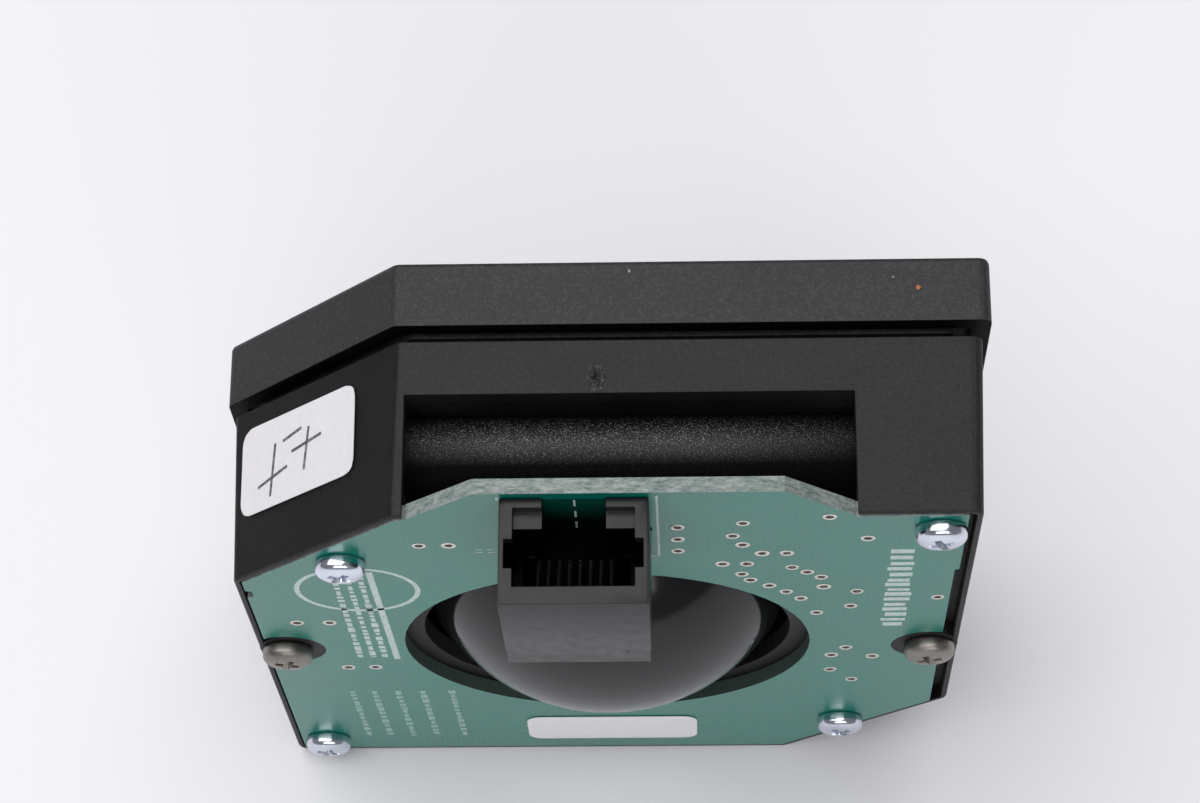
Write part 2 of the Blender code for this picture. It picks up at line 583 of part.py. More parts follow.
def contacts():
    """Eight sprung wires: up from the board pins, along the jack's floor and folded back into its mouth."""
    for k in range(CONTACTS):
        px, py = pin_place(k)
        x, y = px, JACK_Y
        path = [(px, py, 2.9), (px, py, -8.6), (x, py - 0.5, -9.0), (x, y + 3.0, -9.0), (x, y + 2.5, -8.75),
                (x, y + 2.9, -8.5), (x, y + 5.0, -5.0), (x, y + 8.7, -4.4)]
        wire(f"jack_contact_{k + 1}", path, 0.18, GOLD)


def screw(name, at, head_r, head_t, shank_r, length, mat):
    """A pan-head cross screw whose head stands out towards -t from the point at."""
    x, y, t = at
    crown = [(0, length), (shank_r - 0.5, length), (shank_r, length - 0.8), (shank_r, 0), (head_r, 0),
             (head_r, -0.45 * head_t)]
    for k in range(1, 4):
        a = math.pi / 2 * k / 4
        crown.append((head_r * math.cos(a) ** 0.6, -head_t * (0.45 + 0.55 * math.sin(a))))
    crown.append((0, -head_t))
    ob = turned(name, crown, at, mat, steps=16)
    reach, width = head_r * 0.56, head_r * 0.17
    for tag, (dx, dy) in {"a": (reach, width), "b": (width, reach)}.items():
        tool = box(f"cut_{name}_{tag}", (x - dx, y - dy, t - head_t - 0.3), (x + dx, y + dy, t - head_t + 1.0))
        boolean(ob, tool)
    boolean(ob, cylinder(f"cut_{name}_cone", head_r * 0.36, (x, y, t - head_t - 0.02), 1.1, tip=0.1, steps=12))
    smooth(ob, 40)


def screws():
    for name, (x, y) in BOARD_SCREWS.items():
        screw(f"board_screw_{name}", (x, y, BOARD_T0 - 0.05), 2.6, 1.9, 1.3, 7.5, ZINC)
    for side in (-1, 1):
        screw(f"housing_screw_{'right' if side > 0 else 'left'}", (side * POST_X, POST_Y, -0.08), 2.75, 2.0,
              1.3, 23.2, NICKEL)


def chip(name, centre, size, mat, edge=0.15):
    """A component body on the board's inner face; size is along X, along Y and in height."""
    x, y = centre
    w, d, h = size
    t = BOARD_T1 + 0.1
    ob = box(name, (x - w / 2, y - d / 2, t), (x + w / 2, y + d / 2, t + h), mat)
    bevel(ob, edge, 1)


def electronics():
    chip("controller_chip", (17.8, 13.1), (9.6, 9.6, 1.5), CHIP_BLACK)
    chip("line_driver_chip", (-32.35, 27.0), (4.0, 5.0, 1.6), CHIP_BLACK)
    chip("clock_crystal", (10.1, 67.6), (11.0, 4.6, 3.4), CAN, 0.8)
    cap = cylinder("supply_capacitor", 3.1, (-11.0, 67.2, BOARD_T1 + 0.1), 5.4, mat=CAN, steps=24)
    smooth(cap)
    bevel(cap, 0.3, 1)
    chip("x_emitter", (28.95, SHAFT_Y), (1.4, 4.2, 4.4), LENS_CLEAR, 0.3)
    chip("x_detector", (33.05, SHAFT_Y), (1.4, 4.2, 4.4), LENS_DARK, 0.3)
    chip("y_emitter", (SHAFT_X, 66.95), (4.2, 1.4, 4.4), LENS_CLEAR, 0.3)
    chip("y_detector", (SHAFT_X, 71.05), (4.2, 1.4, 4.4), LENS_DARK, 0.3)


def labels():
    """The paper label on the cut corner, lying on the leaning wall, and the strip label on the board."""
    long, tall, thick = 18.5, 9.8, 0.12
    along, middle = 10.2, 11.35
    lean = math.atan2(CUT_DRAFT, BASE_T)
    half_l, half_t = long / 2, tall / 2
    outline = rounded([(-half_l, -half_t), (half_l, -half_t), (half_l, half_t), (-half_l, half_t)], 1.6)
    sticker = prism("corner_label", outline, 0, thick, PAPER)
    out = 0.08 + CUT_DRAFT * middle / BASE_T
    step = math.sqrt(0.5)
    x = -WIDTH / 2 + (along - out) * step
    y = CUT - (along + out) * step
    sticker.location = (x * MM, y * MM, middle * MM)
    sticker.rotation_euler = (math.pi / 2 + lean, 0, -math.pi / 4)
    prism("board_label", rounded([(-10.2, 64.4), (9.6, 64.4), (9.6, 72.4), (-10.2, 72.4)], 1.5),
          BOARD_T0 - 0.2, BOARD_T0 - 0.08, PAPER)


base_housing()
top_housing()
ball_rings()
trackball()
roller_sets()
idler()
circuit_board()
modular_jack()
contacts()
screws()
electronics()
labels()
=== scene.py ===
"""Looks of the trackball module: finer meshes for what is seen, printed board detail and the materials."""

import json
import math
import random

import bmesh
import bpy
from mathutils import Matrix, Vector, noise
from mathutils.bvhtree import BVHTree


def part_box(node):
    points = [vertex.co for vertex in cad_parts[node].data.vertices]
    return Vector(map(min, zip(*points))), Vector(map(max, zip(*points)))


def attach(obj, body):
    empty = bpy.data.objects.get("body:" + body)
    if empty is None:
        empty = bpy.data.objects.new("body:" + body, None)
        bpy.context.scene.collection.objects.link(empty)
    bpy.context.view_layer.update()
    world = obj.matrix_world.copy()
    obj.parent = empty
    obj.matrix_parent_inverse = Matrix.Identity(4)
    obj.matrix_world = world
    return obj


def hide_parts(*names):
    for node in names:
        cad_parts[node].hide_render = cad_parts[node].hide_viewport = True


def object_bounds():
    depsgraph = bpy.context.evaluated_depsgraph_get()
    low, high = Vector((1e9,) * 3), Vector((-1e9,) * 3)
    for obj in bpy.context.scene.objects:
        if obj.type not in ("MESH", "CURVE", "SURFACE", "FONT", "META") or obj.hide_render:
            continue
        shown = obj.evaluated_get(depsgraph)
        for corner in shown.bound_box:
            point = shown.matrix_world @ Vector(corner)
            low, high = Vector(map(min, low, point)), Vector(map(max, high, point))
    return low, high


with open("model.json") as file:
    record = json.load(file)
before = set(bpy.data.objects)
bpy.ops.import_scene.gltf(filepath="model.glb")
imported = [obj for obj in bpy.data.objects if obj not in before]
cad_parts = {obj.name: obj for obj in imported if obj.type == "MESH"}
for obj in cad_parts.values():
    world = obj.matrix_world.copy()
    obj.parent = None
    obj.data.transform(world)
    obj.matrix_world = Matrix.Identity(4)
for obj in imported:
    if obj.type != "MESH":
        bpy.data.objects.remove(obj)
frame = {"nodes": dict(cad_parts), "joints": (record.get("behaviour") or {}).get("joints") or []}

CAD_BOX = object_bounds()

MM = 0.001
TAU = 2 * math.pi
NODES = frame["nodes"]
JOINTS = {joint["name"]: joint for joint in frame["joints"]}
BALL = Vector(JOINTS["ball_roll"]["pos_m"])
BALL_R = (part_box("trackball")[1].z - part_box("trackball")[0].z) / 2
BOARD_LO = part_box("circuit_board")[0]
FACE = BOARD_LO.y                       # the board's outer face
JACK_LO, JACK_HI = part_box("modular_jack")
JACK_X = (JACK_LO.x + JACK_HI.x) / 2
JACK_MOUTH = JACK_HI.z
MOUTH_HALF, KEY_HALF = 5.92 * MM, 6.75 * MM     # half the jack's opening, and with its side keys
CONTACTS, CONTACT_PITCH = 8, 1.02 * MM
BALL_DROP = 38.4 * MM                   # the ball's centre below the window wall
WALL_TOP = BALL.z + BALL_DROP           # the window wall's outer edge at the board rim
WINDOW = (-19.1 * MM, 25.78 * MM)       # the window's left and right ends
TROUGH_R = 5.0 * MM                     # the half-round wall behind the window, and its centre line
TROUGH_Y, TROUGH_Z = FACE + 8.2 * MM, WALL_TOP - 7.0 * MM


# ---- node material helpers ----
class Nodes:
    """A material under construction: short names for the nodes that the materials share."""

    def __init__(self, name, colour=(0.5, 0.5, 0.5), roughness=0.5, metallic=0.0):
        self.mat = bpy.data.materials.new(name)
        self.mat.use_nodes = True
        self.tree = self.mat.node_tree
        self.shader = self.tree.nodes["Principled BSDF"]
        self.set("Base Color", (*colour, 1))
        self.set("Roughness", roughness)
        self.set("Metallic", metallic)
        coords = self.tree.nodes.new("ShaderNodeTexCoord")
        self.place = coords.outputs["Object"]
        self.facing = coords.outputs["Normal"]

    def set(self, socket, value):
        self.shader.inputs[socket].default_value = value

    def link(self, source, target):
        self.tree.links.new(source, target)

    def feed(self, source, socket):
        self.link(source, self.shader.inputs[socket])

    def noise(self, scale, detail=3.0, rough=0.55, source=None):
        node = self.tree.nodes.new("ShaderNodeTexNoise")
        node.inputs["Scale"].default_value = scale
        node.inputs["Detail"].default_value = detail
        node.inputs["Roughness"].default_value = rough
        self.link(source or self.place, node.inputs["Vector"])
        return node.outputs["Fac"]

    def stretch(self, scale):
        node = self.tree.nodes.new("ShaderNodeMapping")
        node.inputs["Scale"].default_value = scale
        self.link(self.place, node.inputs["Vector"])
        return node.outputs["Vector"]

    def split(self, vector):
        node = self.tree.nodes.new("ShaderNodeSeparateXYZ")
        self.link(vector, node.inputs[0])
        return node.outputs

    def math(self, operation, a, b=0.0):
        node = self.tree.nodes.new("ShaderNodeMath")
        node.operation = operation
        for socket, value in zip(node.inputs, (a, b)):
            if isinstance(value, (int, float)):
                socket.default_value = value
            else:
                self.link(value, socket)
        return node.outputs[0]

    def remap(self, value, low, high, to_low=0.0, to_high=1.0):
        node = self.tree.nodes.new("ShaderNodeMapRange")
        for socket, number in zip(node.inputs[1:5], (low, high, to_low, to_high)):
            socket.default_value = number
        self.link(value, node.inputs[0])
        return node.outputs[0]

    def mix(self, factor, a, b):
        """Mixes two colours, each a tuple or a socket."""
        node = self.tree.nodes.new("ShaderNodeMix")
        node.data_type = "RGBA"
        self.link(factor, node.inputs["Factor"])
        for socket, value in ((node.inputs[6], a), (node.inputs[7], b)):
            if isinstance(value, tuple):
                socket.default_value = (*value, 1)
            else:
                self.link(value, socket)
        return node.outputs[2]

    def bump(self, height, distance, strength=1.0, normal=None):
        node = self.tree.nodes.new("ShaderNodeBump")
        node.inputs["Distance"].default_value = distance
        node.inputs["Strength"].default_value = strength
        self.link(height, node.inputs["Height"])
        if normal:
            self.link(normal, node.inputs["Normal"])
        return node.outputs[0]

    def soft_edges(self, radius):
        node = self.tree.nodes.new("ShaderNodeBevel")
        node.samples = 4
        node.inputs["Radius"].default_value = radius
        return node.outputs[0]

    def band(self, value, low, high):
        """1 where value lies between low and high, else 0."""
        above = self.math("GREATER_THAN", value, low)
        below = self.math("LESS_THAN", value, high)
        return self.math("MULTIPLY", above, below)


# ---- materials ----
def housing_plastic(name, low, high, roughness, cut_shade=1.0, dark_below=None):
    """Black moulding with a fine spark-eroded grain.

    The cut corners get painted shade, its strength set by the argument after roughness (1 paints none): faces
    turned that way are coloured darker and given less gloss. What lies on the board side of dark_below, and
    faces turned to the board up to 0.6 mm beyond it, get painted shade too: their colour goes nine tenths of
    the way to black."""
    m = Nodes(name)
    mottle = m.noise(90, 4)
    grain = m.noise(2600, 4, 0.8)
    tone = m.mix(m.remap(mottle, 0.35, 0.65), (low, low, low * 1.04), (high, high, high * 1.03))
    tone = m.mix(m.remap(grain, 0.48, 0.66), tone, (high * 2.2, high * 2.2, high * 2.35))
    nx, _, nz = m.split(m.facing)[:3]
    # painted shade: faces turned like the cut corners are coloured darker and lose gloss
    on_cut = m.remap(m.math("SUBTRACT", nz, nx), 1.30, 1.38)
    dim = m.remap(on_cut, 0, 1, 0, 1 - cut_shade)
    if dark_below is not None:
        # painted shade: below dark_below, and on faces turned to the board just above it, the colour goes
        # near black
        under = m.math("LESS_THAN", m.split(m.facing)[1], -0.5)
        level = m.math("SUBTRACT", m.split(m.place)[1], m.math("MULTIPLY", under, 0.6 * MM))
        gap_shade = m.math("LESS_THAN", level, dark_below)
        dim = m.math("MAXIMUM", dim, m.math("MULTIPLY", gap_shade, 0.9))
    m.feed(m.mix(dim, tone, (0.0, 0.0, 0.0)), "Base Color")
    m.feed(m.remap(mottle, 0.3, 0.7, roughness - 0.05, roughness + 0.07), "Roughness")
    m.feed(m.remap(dim, 0, 1, 0.38, 0.02), "Specular IOR Level")
    m.feed(m.bump(grain, 0.00006, 0.9, m.soft_edges(0.00018)), "Normal")
    return m.mat


def sparkling_plastic_painted_highlight():
    """The glossy half-round wall behind the window: a sparkling grain, with a painted highlight along its
    middle and painted shade towards its edges and ends.
    """
    m = Nodes("sparkling_plastic_painted_highlight")
    x, y, _ = m.split(m.place)[:3]
    # painted highlight: a bright band along the middle of the half-round; painted shade towards its edges and
    # its two ends
    off = m.math("ABSOLUTE", m.math("SUBTRACT", y, TROUGH_Y + 1.2 * MM))
    painted_highlight = m.remap(off, 0.6 * MM, 3.1 * MM, 1.0, 0.04)
    painted_highlight = m.math("MULTIPLY", painted_highlight, m.remap(x, WINDOW[0], WINDOW[0] + 9 * MM, 0.35, 1.0))
    painted_highlight = m.math("MULTIPLY", painted_highlight, m.remap(x, WINDOW[1] - 14 * MM, WINDOW[1], 1.0, 0.25))
    grain = m.noise(4200, 3, 0.8)
    specks_in_highlight = m.math("MULTIPLY", m.remap(m.noise(6400, 2, 0.6), 0.55, 0.69), painted_highlight)
    m.feed(m.mix(specks_in_highlight, (0.003, 0.003, 0.0035), (0.20, 0.20, 0.215)), "Base Color")
    m.feed(m.remap(grain, 0.3, 0.7, 0.26, 0.42), "Roughness")
    m.feed(m.math("MULTIPLY", painted_highlight, 0.42), "Specular IOR Level")
    m.feed(m.bump(grain, 0.00009, 0.9), "Normal")
    return m.mat


def smooth_plastic(name, colour, roughness, edge=0.00012, gloss=0.5):
    m = Nodes(name)
    m.set("Specular IOR Level", gloss)
    mottle = m.noise(160, 4)
    shade = tuple(c * 1.35 + 0.001 for c in colour)
    m.feed(m.mix(m.remap(mottle, 0.35, 0.65), colour, shade), "Base Color")
    m.feed(m.remap(m.noise(700, 3), 0.3, 0.7, roughness - 0.05, roughness + 0.06), "Roughness")
    m.feed(m.bump(m.noise(2400, 2), 0.00001, 0.3, m.soft_edges(edge)), "Normal")
    return m.mat


def jack_plastic():
    """The jack's moulding: faint flow marks outside, a painted light that makes the faces turned away from
    the board paler, and painted shade deep inside the mouth.
    """
    m = Nodes("jack_plastic")
    x, y, z = m.split(m.place)[:3]
    # painted shade: deep inside the mouth the colour goes near black and the gloss almost off
    inside = m.math("MULTIPLY", m.band(x, JACK_X - 7.0 * MM, JACK_X + 7.0 * MM),
                    m.band(y, JACK_LO.y + 1.7 * MM, JACK_HI.y - 1.5 * MM))
    inside = m.math("MULTIPLY", inside, m.math("LESS_THAN", z, JACK_MOUTH - 1.2 * MM))
    flow = m.noise(1, 4, 0.7, m.stretch((260, 260, 1500)))
    # painted light: faces turned away from the board get a paler tone
    outer = m.math("GREATER_THAN", m.math("SUBTRACT", 0.0, m.split(m.facing)[1]), 0.5)
    tone = m.mix(m.remap(flow, 0.3, 0.7), (0.0052, 0.0047, 0.0056), (0.0066, 0.0060, 0.0072))
    tone = m.mix(m.math("MULTIPLY", outer, 0.5), tone, (0.0200, 0.0188, 0.0220))
    m.feed(m.mix(inside, tone, (0.0008, 0.0008, 0.0008)), "Base Color")
    m.feed(m.remap(m.noise(700, 3), 0.3, 0.7, 0.30, 0.41), "Roughness")
    m.feed(m.remap(inside, 0, 1, 0.36, 0.05), "Specular IOR Level")
    m.feed(m.bump(m.noise(2400, 2), 0.00002, 0.4, m.soft_edges(0.00012)), "Normal")
    return m.mat


def phenolic():
    """The polished ball: deep black with faint handling marks in the gloss."""
    m = Nodes("ball_phenolic")
    haze = m.noise(120, 5, 0.6)
    streaks = m.noise(1, 3, 0.6, m.stretch((2200, 260, 260)))
    m.feed(m.mix(m.remap(haze, 0.3, 0.7), (0.005, 0.005, 0.0055), (0.009, 0.009, 0.010)), "Base Color")
    rough = m.math("ADD", m.remap(haze, 0.35, 0.7, 0.09, 0.15), m.remap(streaks, 0.66, 0.75, 0, 0.1))
    m.feed(rough, "Roughness")
    m.set("Specular IOR Level", 0.42)
    return m.mat


def felt():
    m = Nodes("seal_felt")
    fuzz = m.noise(2600, 6, 0.8)
    m.feed(m.mix(fuzz, (0.12, 0.12, 0.115), (0.36, 0.35, 0.33)), "Base Color")
    m.set("Roughness", 0.95)
    m.set("Sheen Weight", 0.4)
    m.feed(m.bump(fuzz, 0.00012, 1.0), "Normal")
    return m.mat


def ground_metal(name, colour, roughness, grain=(90, 2400, 2400), depth=0.000006):
    """Ground, drawn or plated metal with directional scratches."""
    m = Nodes(name, metallic=1.0)
    lines = m.noise(1, 4, 0.65, m.stretch(grain))
    blotch = m.noise(240, 4)
    dark = tuple(c * 0.72 for c in colour)
    m.feed(m.mix(m.remap(blotch, 0.3, 0.75), dark, colour), "Base Color")
    m.feed(m.remap(lines, 0.3, 0.7, roughness - 0.06, roughness + 0.1), "Roughness")
    m.feed(m.bump(lines, depth, 0.6, m.soft_edges(0.00006)), "Normal")
    return m.mat


def contact_gold_and_shade():
    """Sprung contacts: gold where the plug touches; below that, painted shade: a dark, dull colour in place
    of the gold.
    """
    m = Nodes("contact_gold", metallic=1.0)
    _, y, _ = m.split(m.place)[:3]
    lines = m.noise(1, 4, 0.65, m.stretch((300, 60, 60)))
    # painted shade: below this height the wires are coloured dark and dull instead of gold
    plated = m.math("GREATER_THAN", y, JACK_LO.y + 5.4 * MM)
    m.feed(m.mix(plated, (0.030, 0.028, 0.024), (0.88, 0.80, 0.64)), "Base Color")
    m.feed(m.remap(plated, 0, 1, 0.6, 0.22), "Roughness")
    m.feed(m.bump(lines, 0.000006, 0.6), "Normal")
    return m.mat


def solder_mask():
    """Green mask over a hatched ground fill; the routed edge shows pale glass fibre. Painted shade darkens
    the cut edge around the ball's opening and the board under the jack's latch slot.
    """
    m = Nodes("board_mask")
    x, _, z = m.split(m.place)[:3]
    pitch = TAU / 0.00062
    rows = m.math("SINE", m.math("MULTIPLY", x, pitch))
    columns = m.math("SINE", m.math("MULTIPLY", z, pitch))
    hatch = m.remap(m.math("MAXIMUM", rows, columns), 0.35, 0.9)
    blotch = m.noise(70, 4)
    mask = m.mix(hatch, (0.002, 0.150, 0.108), (0.003, 0.175, 0.128))
    mask = m.mix(m.remap(blotch, 0.35, 0.7), mask, (0.006, 0.185, 0.138))
    fibre = m.noise(1, 6, 0.8, m.stretch((900, 2600, 900)))
    cut = m.mix(m.remap(fibre, 0.37, 0.66), (0.08, 0.13, 0.115), (0.35, 0.37, 0.36))
    side = m.math("SUBTRACT", 1.0, m.math("ABSOLUTE", m.split(m.facing)[1]))
    side = m.math("GREATER_THAN", side, 0.5)
    across = m.math("SUBTRACT", x, BALL.x)
    down = m.math("SUBTRACT", z, BALL.z)
    squares = m.math("ADD", m.math("MULTIPLY", across, across), m.math("MULTIPLY", down, down))
    from_ball = m.math("SQRT", squares)
    # painted shade: the cut edge around the ball's opening is coloured dark
    cut = m.mix(m.math("LESS_THAN", from_ball, 23 * MM), cut, (0.030, 0.055, 0.045))
    # painted shade: the board under the jack's latch slot is darkened, a little less close to the mouth
    latch_shade = m.math("MULTIPLY", m.band(x, JACK_X - 5.4 * MM, JACK_X + 5.4 * MM),
                         m.band(z, JACK_MOUTH - 17 * MM, JACK_MOUTH - 0.6 * MM))
    shade = m.remap(z, JACK_MOUTH - 6.5 * MM, JACK_MOUTH - 0.6 * MM, 1.0, 0.6)
    mask = m.mix(m.math("MULTIPLY", latch_shade, shade), mask, (0.0008, 0.006, 0.004))
    m.feed(m.mix(side, mask, cut), "Base Color")
    m.feed(m.math("ADD", m.remap(blotch, 0.3, 0.7, 0.20, 0.30), m.math("MULTIPLY", side, 0.55)), "Roughness")
    m.set("Specular IOR Level", 0.6)
    frayed = m.math("MULTIPLY", m.math("MULTIPLY", fibre, side), 3.0)
    relief = m.math("ADD", m.math("MULTIPLY", hatch, 0.1), frayed)
    m.feed(m.bump(relief, 0.00003, 0.5), "Normal")
    return m.mat


def paper(name, shade):
    m = Nodes(name)
    pulp = m.noise(900, 5, 0.7)
    pale = tuple(min(1, c * 1.08) for c in shade)
    m.feed(m.mix(m.remap(pulp, 0.3, 0.7), shade, pale), "Base Color")
    m.feed(m.remap(pulp, 0.3, 0.7, 0.45, 0.6), "Roughness")
    m.feed(m.bump(pulp, 0.00001, 0.4), "Normal")
    return m.mat


def ink(name, colour, worn):
    """Printed or drawn ink, thin in places so that it reads as a print."""
    m = Nodes(name)
    gaps = m.noise(3200, 3, 0.7)
    m.feed(m.mix(m.remap(gaps, 0.35, 0.6), worn, colour), "Base Color")
    m.feed(m.remap(gaps, 0.3, 0.7, 0.5, 0.7), "Roughness")
    m.feed(m.bump(gaps, 0.00001, 0.3), "Normal")
    return m.mat


def tinned(name, colour, roughness):
    m = Nodes(name, metallic=1.0)
    dimple = m.noise(1800, 3, 0.6)
    m.feed(m.mix(m.remap(dimple, 0.3, 0.7), tuple(c * 0.7 for c in colour), colour), "Base Color")
    m.feed(m.remap(dimple, 0.3, 0.7, roughness - 0.08, roughness + 0.1), "Roughness")
    m.feed(m.bump(dimple, 0.00002, 0.5), "Normal")
    return m.mat


def resin(name, colour, clear):
    m = Nodes(name, roughness=0.12)
    swirl = m.noise(300, 3)
    m.feed(m.mix(swirl, colour, tuple(min(1, c * 1.3) for c in colour)), "Base Color")
    m.feed(m.remap(swirl, 0.3, 0.7, 0.08, 0.18), "Roughness")
    m.set("Transmission Weight", clear)
    return m.mat


def tabletop():
    m = Nodes("tabletop")
    cloud = m.noise(2.2, 3, 0.5)
    m.feed(m.mix(m.remap(cloud, 0.3, 0.7), (0.77, 0.76, 0.79), (0.80, 0.79, 0.82)), "Base Color")
    m.feed(m.remap(cloud, 0.3, 0.7, 0.5, 0.6), "Roughness")
    m.set("Specular IOR Level", 0.3)
    return m.mat


# painted shade: both mouldings are darkened on their cut corners, and the lid also on its underside over the
# gap to the base
BLACK = housing_plastic("base_plastic", 0.0045, 0.008, 0.58, cut_shade=0.5)
SPARKLE_AND_HIGHLIGHT = sparkling_plastic_painted_highlight()
LID = housing_plastic("lid_plastic", 0.012, 0.017, 0.50, cut_shade=0.85, dark_below=FACE + 20.1 * MM)
RING = smooth_plastic("ring_plastic", (0.020, 0.020, 0.021), 0.32)
PHENOLIC = phenolic()
FELT = felt()
JACK = jack_plastic()
# painted shade: the contact carrier deep inside the jack is coloured near black with almost no gloss
JACK_DEEP_SHADE = smooth_plastic("jack_insert_shade", (0.0005, 0.0005, 0.0005), 0.8, gloss=0.02)
WHEEL = smooth_plastic("wheel_plastic", (0.03, 0.03, 0.03), 0.5)
CHIP = smooth_plastic("chip_epoxy", (0.03, 0.03, 0.032), 0.45)
STEEL = ground_metal("shaft_steel", (0.62, 0.62, 0.63), 0.24, (3000, 60, 60))
RACE = ground_metal("bearing_steel", (0.55, 0.55, 0.57), 0.3)
CAN = ground_metal("drawn_can", (0.62, 0.62, 0.63), 0.3, (60, 1800, 60))
GOLD = contact_gold_and_shade()
ZINC = ground_metal("zinc_plate", (0.80, 0.84, 0.93), 0.16, (900, 900, 900))
NICKEL = ground_metal("nickel_plate", (0.31, 0.285, 0.26), 0.38, (700, 700, 700))
MASK = solder_mask()
PAPER = paper("label_paper", (0.78, 0.77, 0.79))
STICKER = paper("sticker_paper", (0.67, 0.655, 0.68))
SILK = ink("silkscreen", (0.62, 0.71, 0.68), (0.34, 0.48, 0.43))
FAINT = ink("silkscreen_worn", (0.36, 0.52, 0.47), (0.16, 0.33, 0.28))
PEN = ink("pen_ink", (0.035, 0.037, 0.045), (0.22, 0.22, 0.24))
TIN = tinned("pad_tin", (0.82, 0.80, 0.74), 0.3)
OLD_TIN = tinned("old_tin", (0.24, 0.22, 0.19), 0.5)
SCAR = housing_plastic("scar_plastic", 0.003, 0.026, 0.34)
HOLE_SHADE = smooth_plastic("hole_shade", (0.025, 0.016, 0.010), 0.6)
EMITTER = resin("emitter_resin", (0.55, 0.62, 0.78), 0.6)
DETECTOR = resin("detector_resin", (0.04, 0.03, 0.05), 0.0)
DUST = ink("dust", (0.30, 0.30, 0.30), (0.16, 0.16, 0.16))
CRUMB = ink("orange_crumb", (0.42, 0.16, 0.06), (0.2, 0.08, 0.04))

CAD_LOOKS = {
    "base_housing": BLACK, "top_housing": LID, "circuit_board": MASK, "wiper_seal": FELT,
    "x_roller_shaft": STEEL, "y_roller_shaft": STEEL, "idler_axle": STEEL, "idler_roller": RACE,
    "x_bearing_left": RACE, "x_bearing_right": RACE, "y_bearing_near": RACE, "y_bearing_far": RACE,
    "x_encoder_wheel": WHEEL, "y_encoder_wheel": WHEEL, "contact_carrier": JACK_DEEP_SHADE, "controller_chip": CHIP,
    "line_driver_chip": CHIP, "clock_crystal": CAN, "supply_capacitor": CAN, "x_emitter": EMITTER,
    "y_emitter": EMITTER, "x_detector": DETECTOR, "y_detector": DETECTOR,
    **{f"jack_contact_{k}": GOLD for k in range(1, 9)},
}
for node, look in CAD_LOOKS.items():
    NODES[node].data.materials.clear()
    NODES[node].data.materials.append(look)


# ---- mesh helpers ----
def add(name, bm, mat, body="housing", replaced=(), smooth=None):
    """Turns a bmesh in metres into a piece that rides on a body."""
    bmesh.ops.recalc_face_normals(bm, faces=bm.faces)
    mesh = bpy.data.meshes.new(name)
    bm.to_mesh(mesh)
    bm.free()
    ob = bpy.data.objects.new(name, mesh)
    bpy.context.scene.collection.objects.link(ob)
    mesh.materials.append(mat)
    if smooth is not None:
        mesh.shade_smooth()
        mesh.set_sharp_from_angle(angle=math.radians(smooth))
    if replaced:
        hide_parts(*replaced)
    if body:
        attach(ob, body)
    return ob


def bake_modifiers(ob, smooth=35):
    """Replaces an object's mesh by its evaluated one."""
    graph = bpy.context.evaluated_depsgraph_get()
    mesh = bpy.data.meshes.new_from_object(ob.evaluated_get(graph))
    ob.modifiers.clear()
    ob.data = mesh
    mesh.shade_smooth()
    mesh.set_sharp_from_angle(angle=math.radians(smooth))


def carve(ob, tools):
    """Cuts the tools out of an object and removes them."""
    for tool in tools:
        mod = ob.modifiers.new(tool.name, "BOOLEAN")
        mod.object = tool
        mod.operation = "DIFFERENCE"
        mod.solver = "EXACT"
    bake_modifiers(ob)
    for tool in tools:
        bpy.data.objects.remove(tool)


def block(bm, lo, hi):
    """A box between two corners."""
    made = bmesh.ops.create_cube(bm, size=1)["verts"]
    size = Vector(hi) - Vector(lo)
    middle = (Vector(hi) + Vector(lo)) / 2
    for vert in made:
        vert.co = Vector([c * s for c, s in zip(vert.co, size)]) + middle
    return made


def rounded_block(name, lo, hi, radius, mat=None, segments=2):
    bm = bmesh.new()
    block(bm, lo, hi)
    if radius:
        bmesh.ops.bevel(bm, geom=bm.edges[:], offset=radius, segments=segments, affect="EDGES", profile=0.5)
    return add(name, bm, mat or BLACK, body=None)


def lathe(bm, profile, centre, axis, steps):
    """Turns a closed profile of (radius, along) about an axis through centre, joining ends on the axis."""
    axis = Vector(axis).normalized()
    side = axis.orthogonal().normalized()
    rings = []
    for radius, along in profile:
        if radius < 1e-7:
            rings.append([bm.verts.new(Vector(centre) + axis * along)])
            continue
        turn = [Matrix.Rotation(TAU * k / steps, 3, axis) @ side * radius for k in range(steps)]
        rings.append([bm.verts.new(Vector(centre) + axis * along + t) for t in turn])
    closed = profile[0][0] > 1e-7 and profile[-1][0] > 1e-7
    for a, b in list(zip(rings, rings[1:])) + ([(rings[-1], rings[0])] if closed else []):
        for k in range(steps):
            corners = [a[k % len(a)], a[(k + 1) % steps % len(a)], b[(k + 1) % steps % len(b)], b[k % len(b)]]
            bm.faces.new(list(dict.fromkeys(corners)))
    return rings


def arc(centre_r, centre_h, radius, start, end, steps):
    """Points of (radius, along) on a round, with angles in degrees from the radial direction."""
    span = [math.radians(start + (end - start) * k / steps) for k in range(steps + 1)]
    return [(centre_r + radius * math.cos(a), centre_h + radius * math.sin(a)) for a in span]


def on_board(u, v, lift=0.0):
    """A point over the board's outer face: u to the right and v up from the ball's centre, in millimetres."""
    return Vector((BALL.x + u * MM, FACE - lift * MM, BALL.z + v * MM))


def flat_piece(bm, outline, low, high):
    """A thin raised plate on the board's outer face."""
    base = [bm.verts.new(on_board(u, v, low)) for u, v in outline]
    top = [bm.verts.new(on_board(u, v, high)) for u, v in outline]
    n = len(outline)
    bm.faces.new(base)
    bm.faces.new(top[::-1])
    for k in range(n):
        bm.faces.new([base[k], base[(k + 1) % n], top[(k + 1) % n], top[k]])


def stroke(bm, start, end, width, low=0.004, high=0.03):
    """A straight printed line on the board."""
    a, b = Vector(start), Vector(end)
    across = (b - a).orthogonal().normalized() * width / 2
    flat_piece(bm, [a - across, b - across, b + across, a + across], low, high)


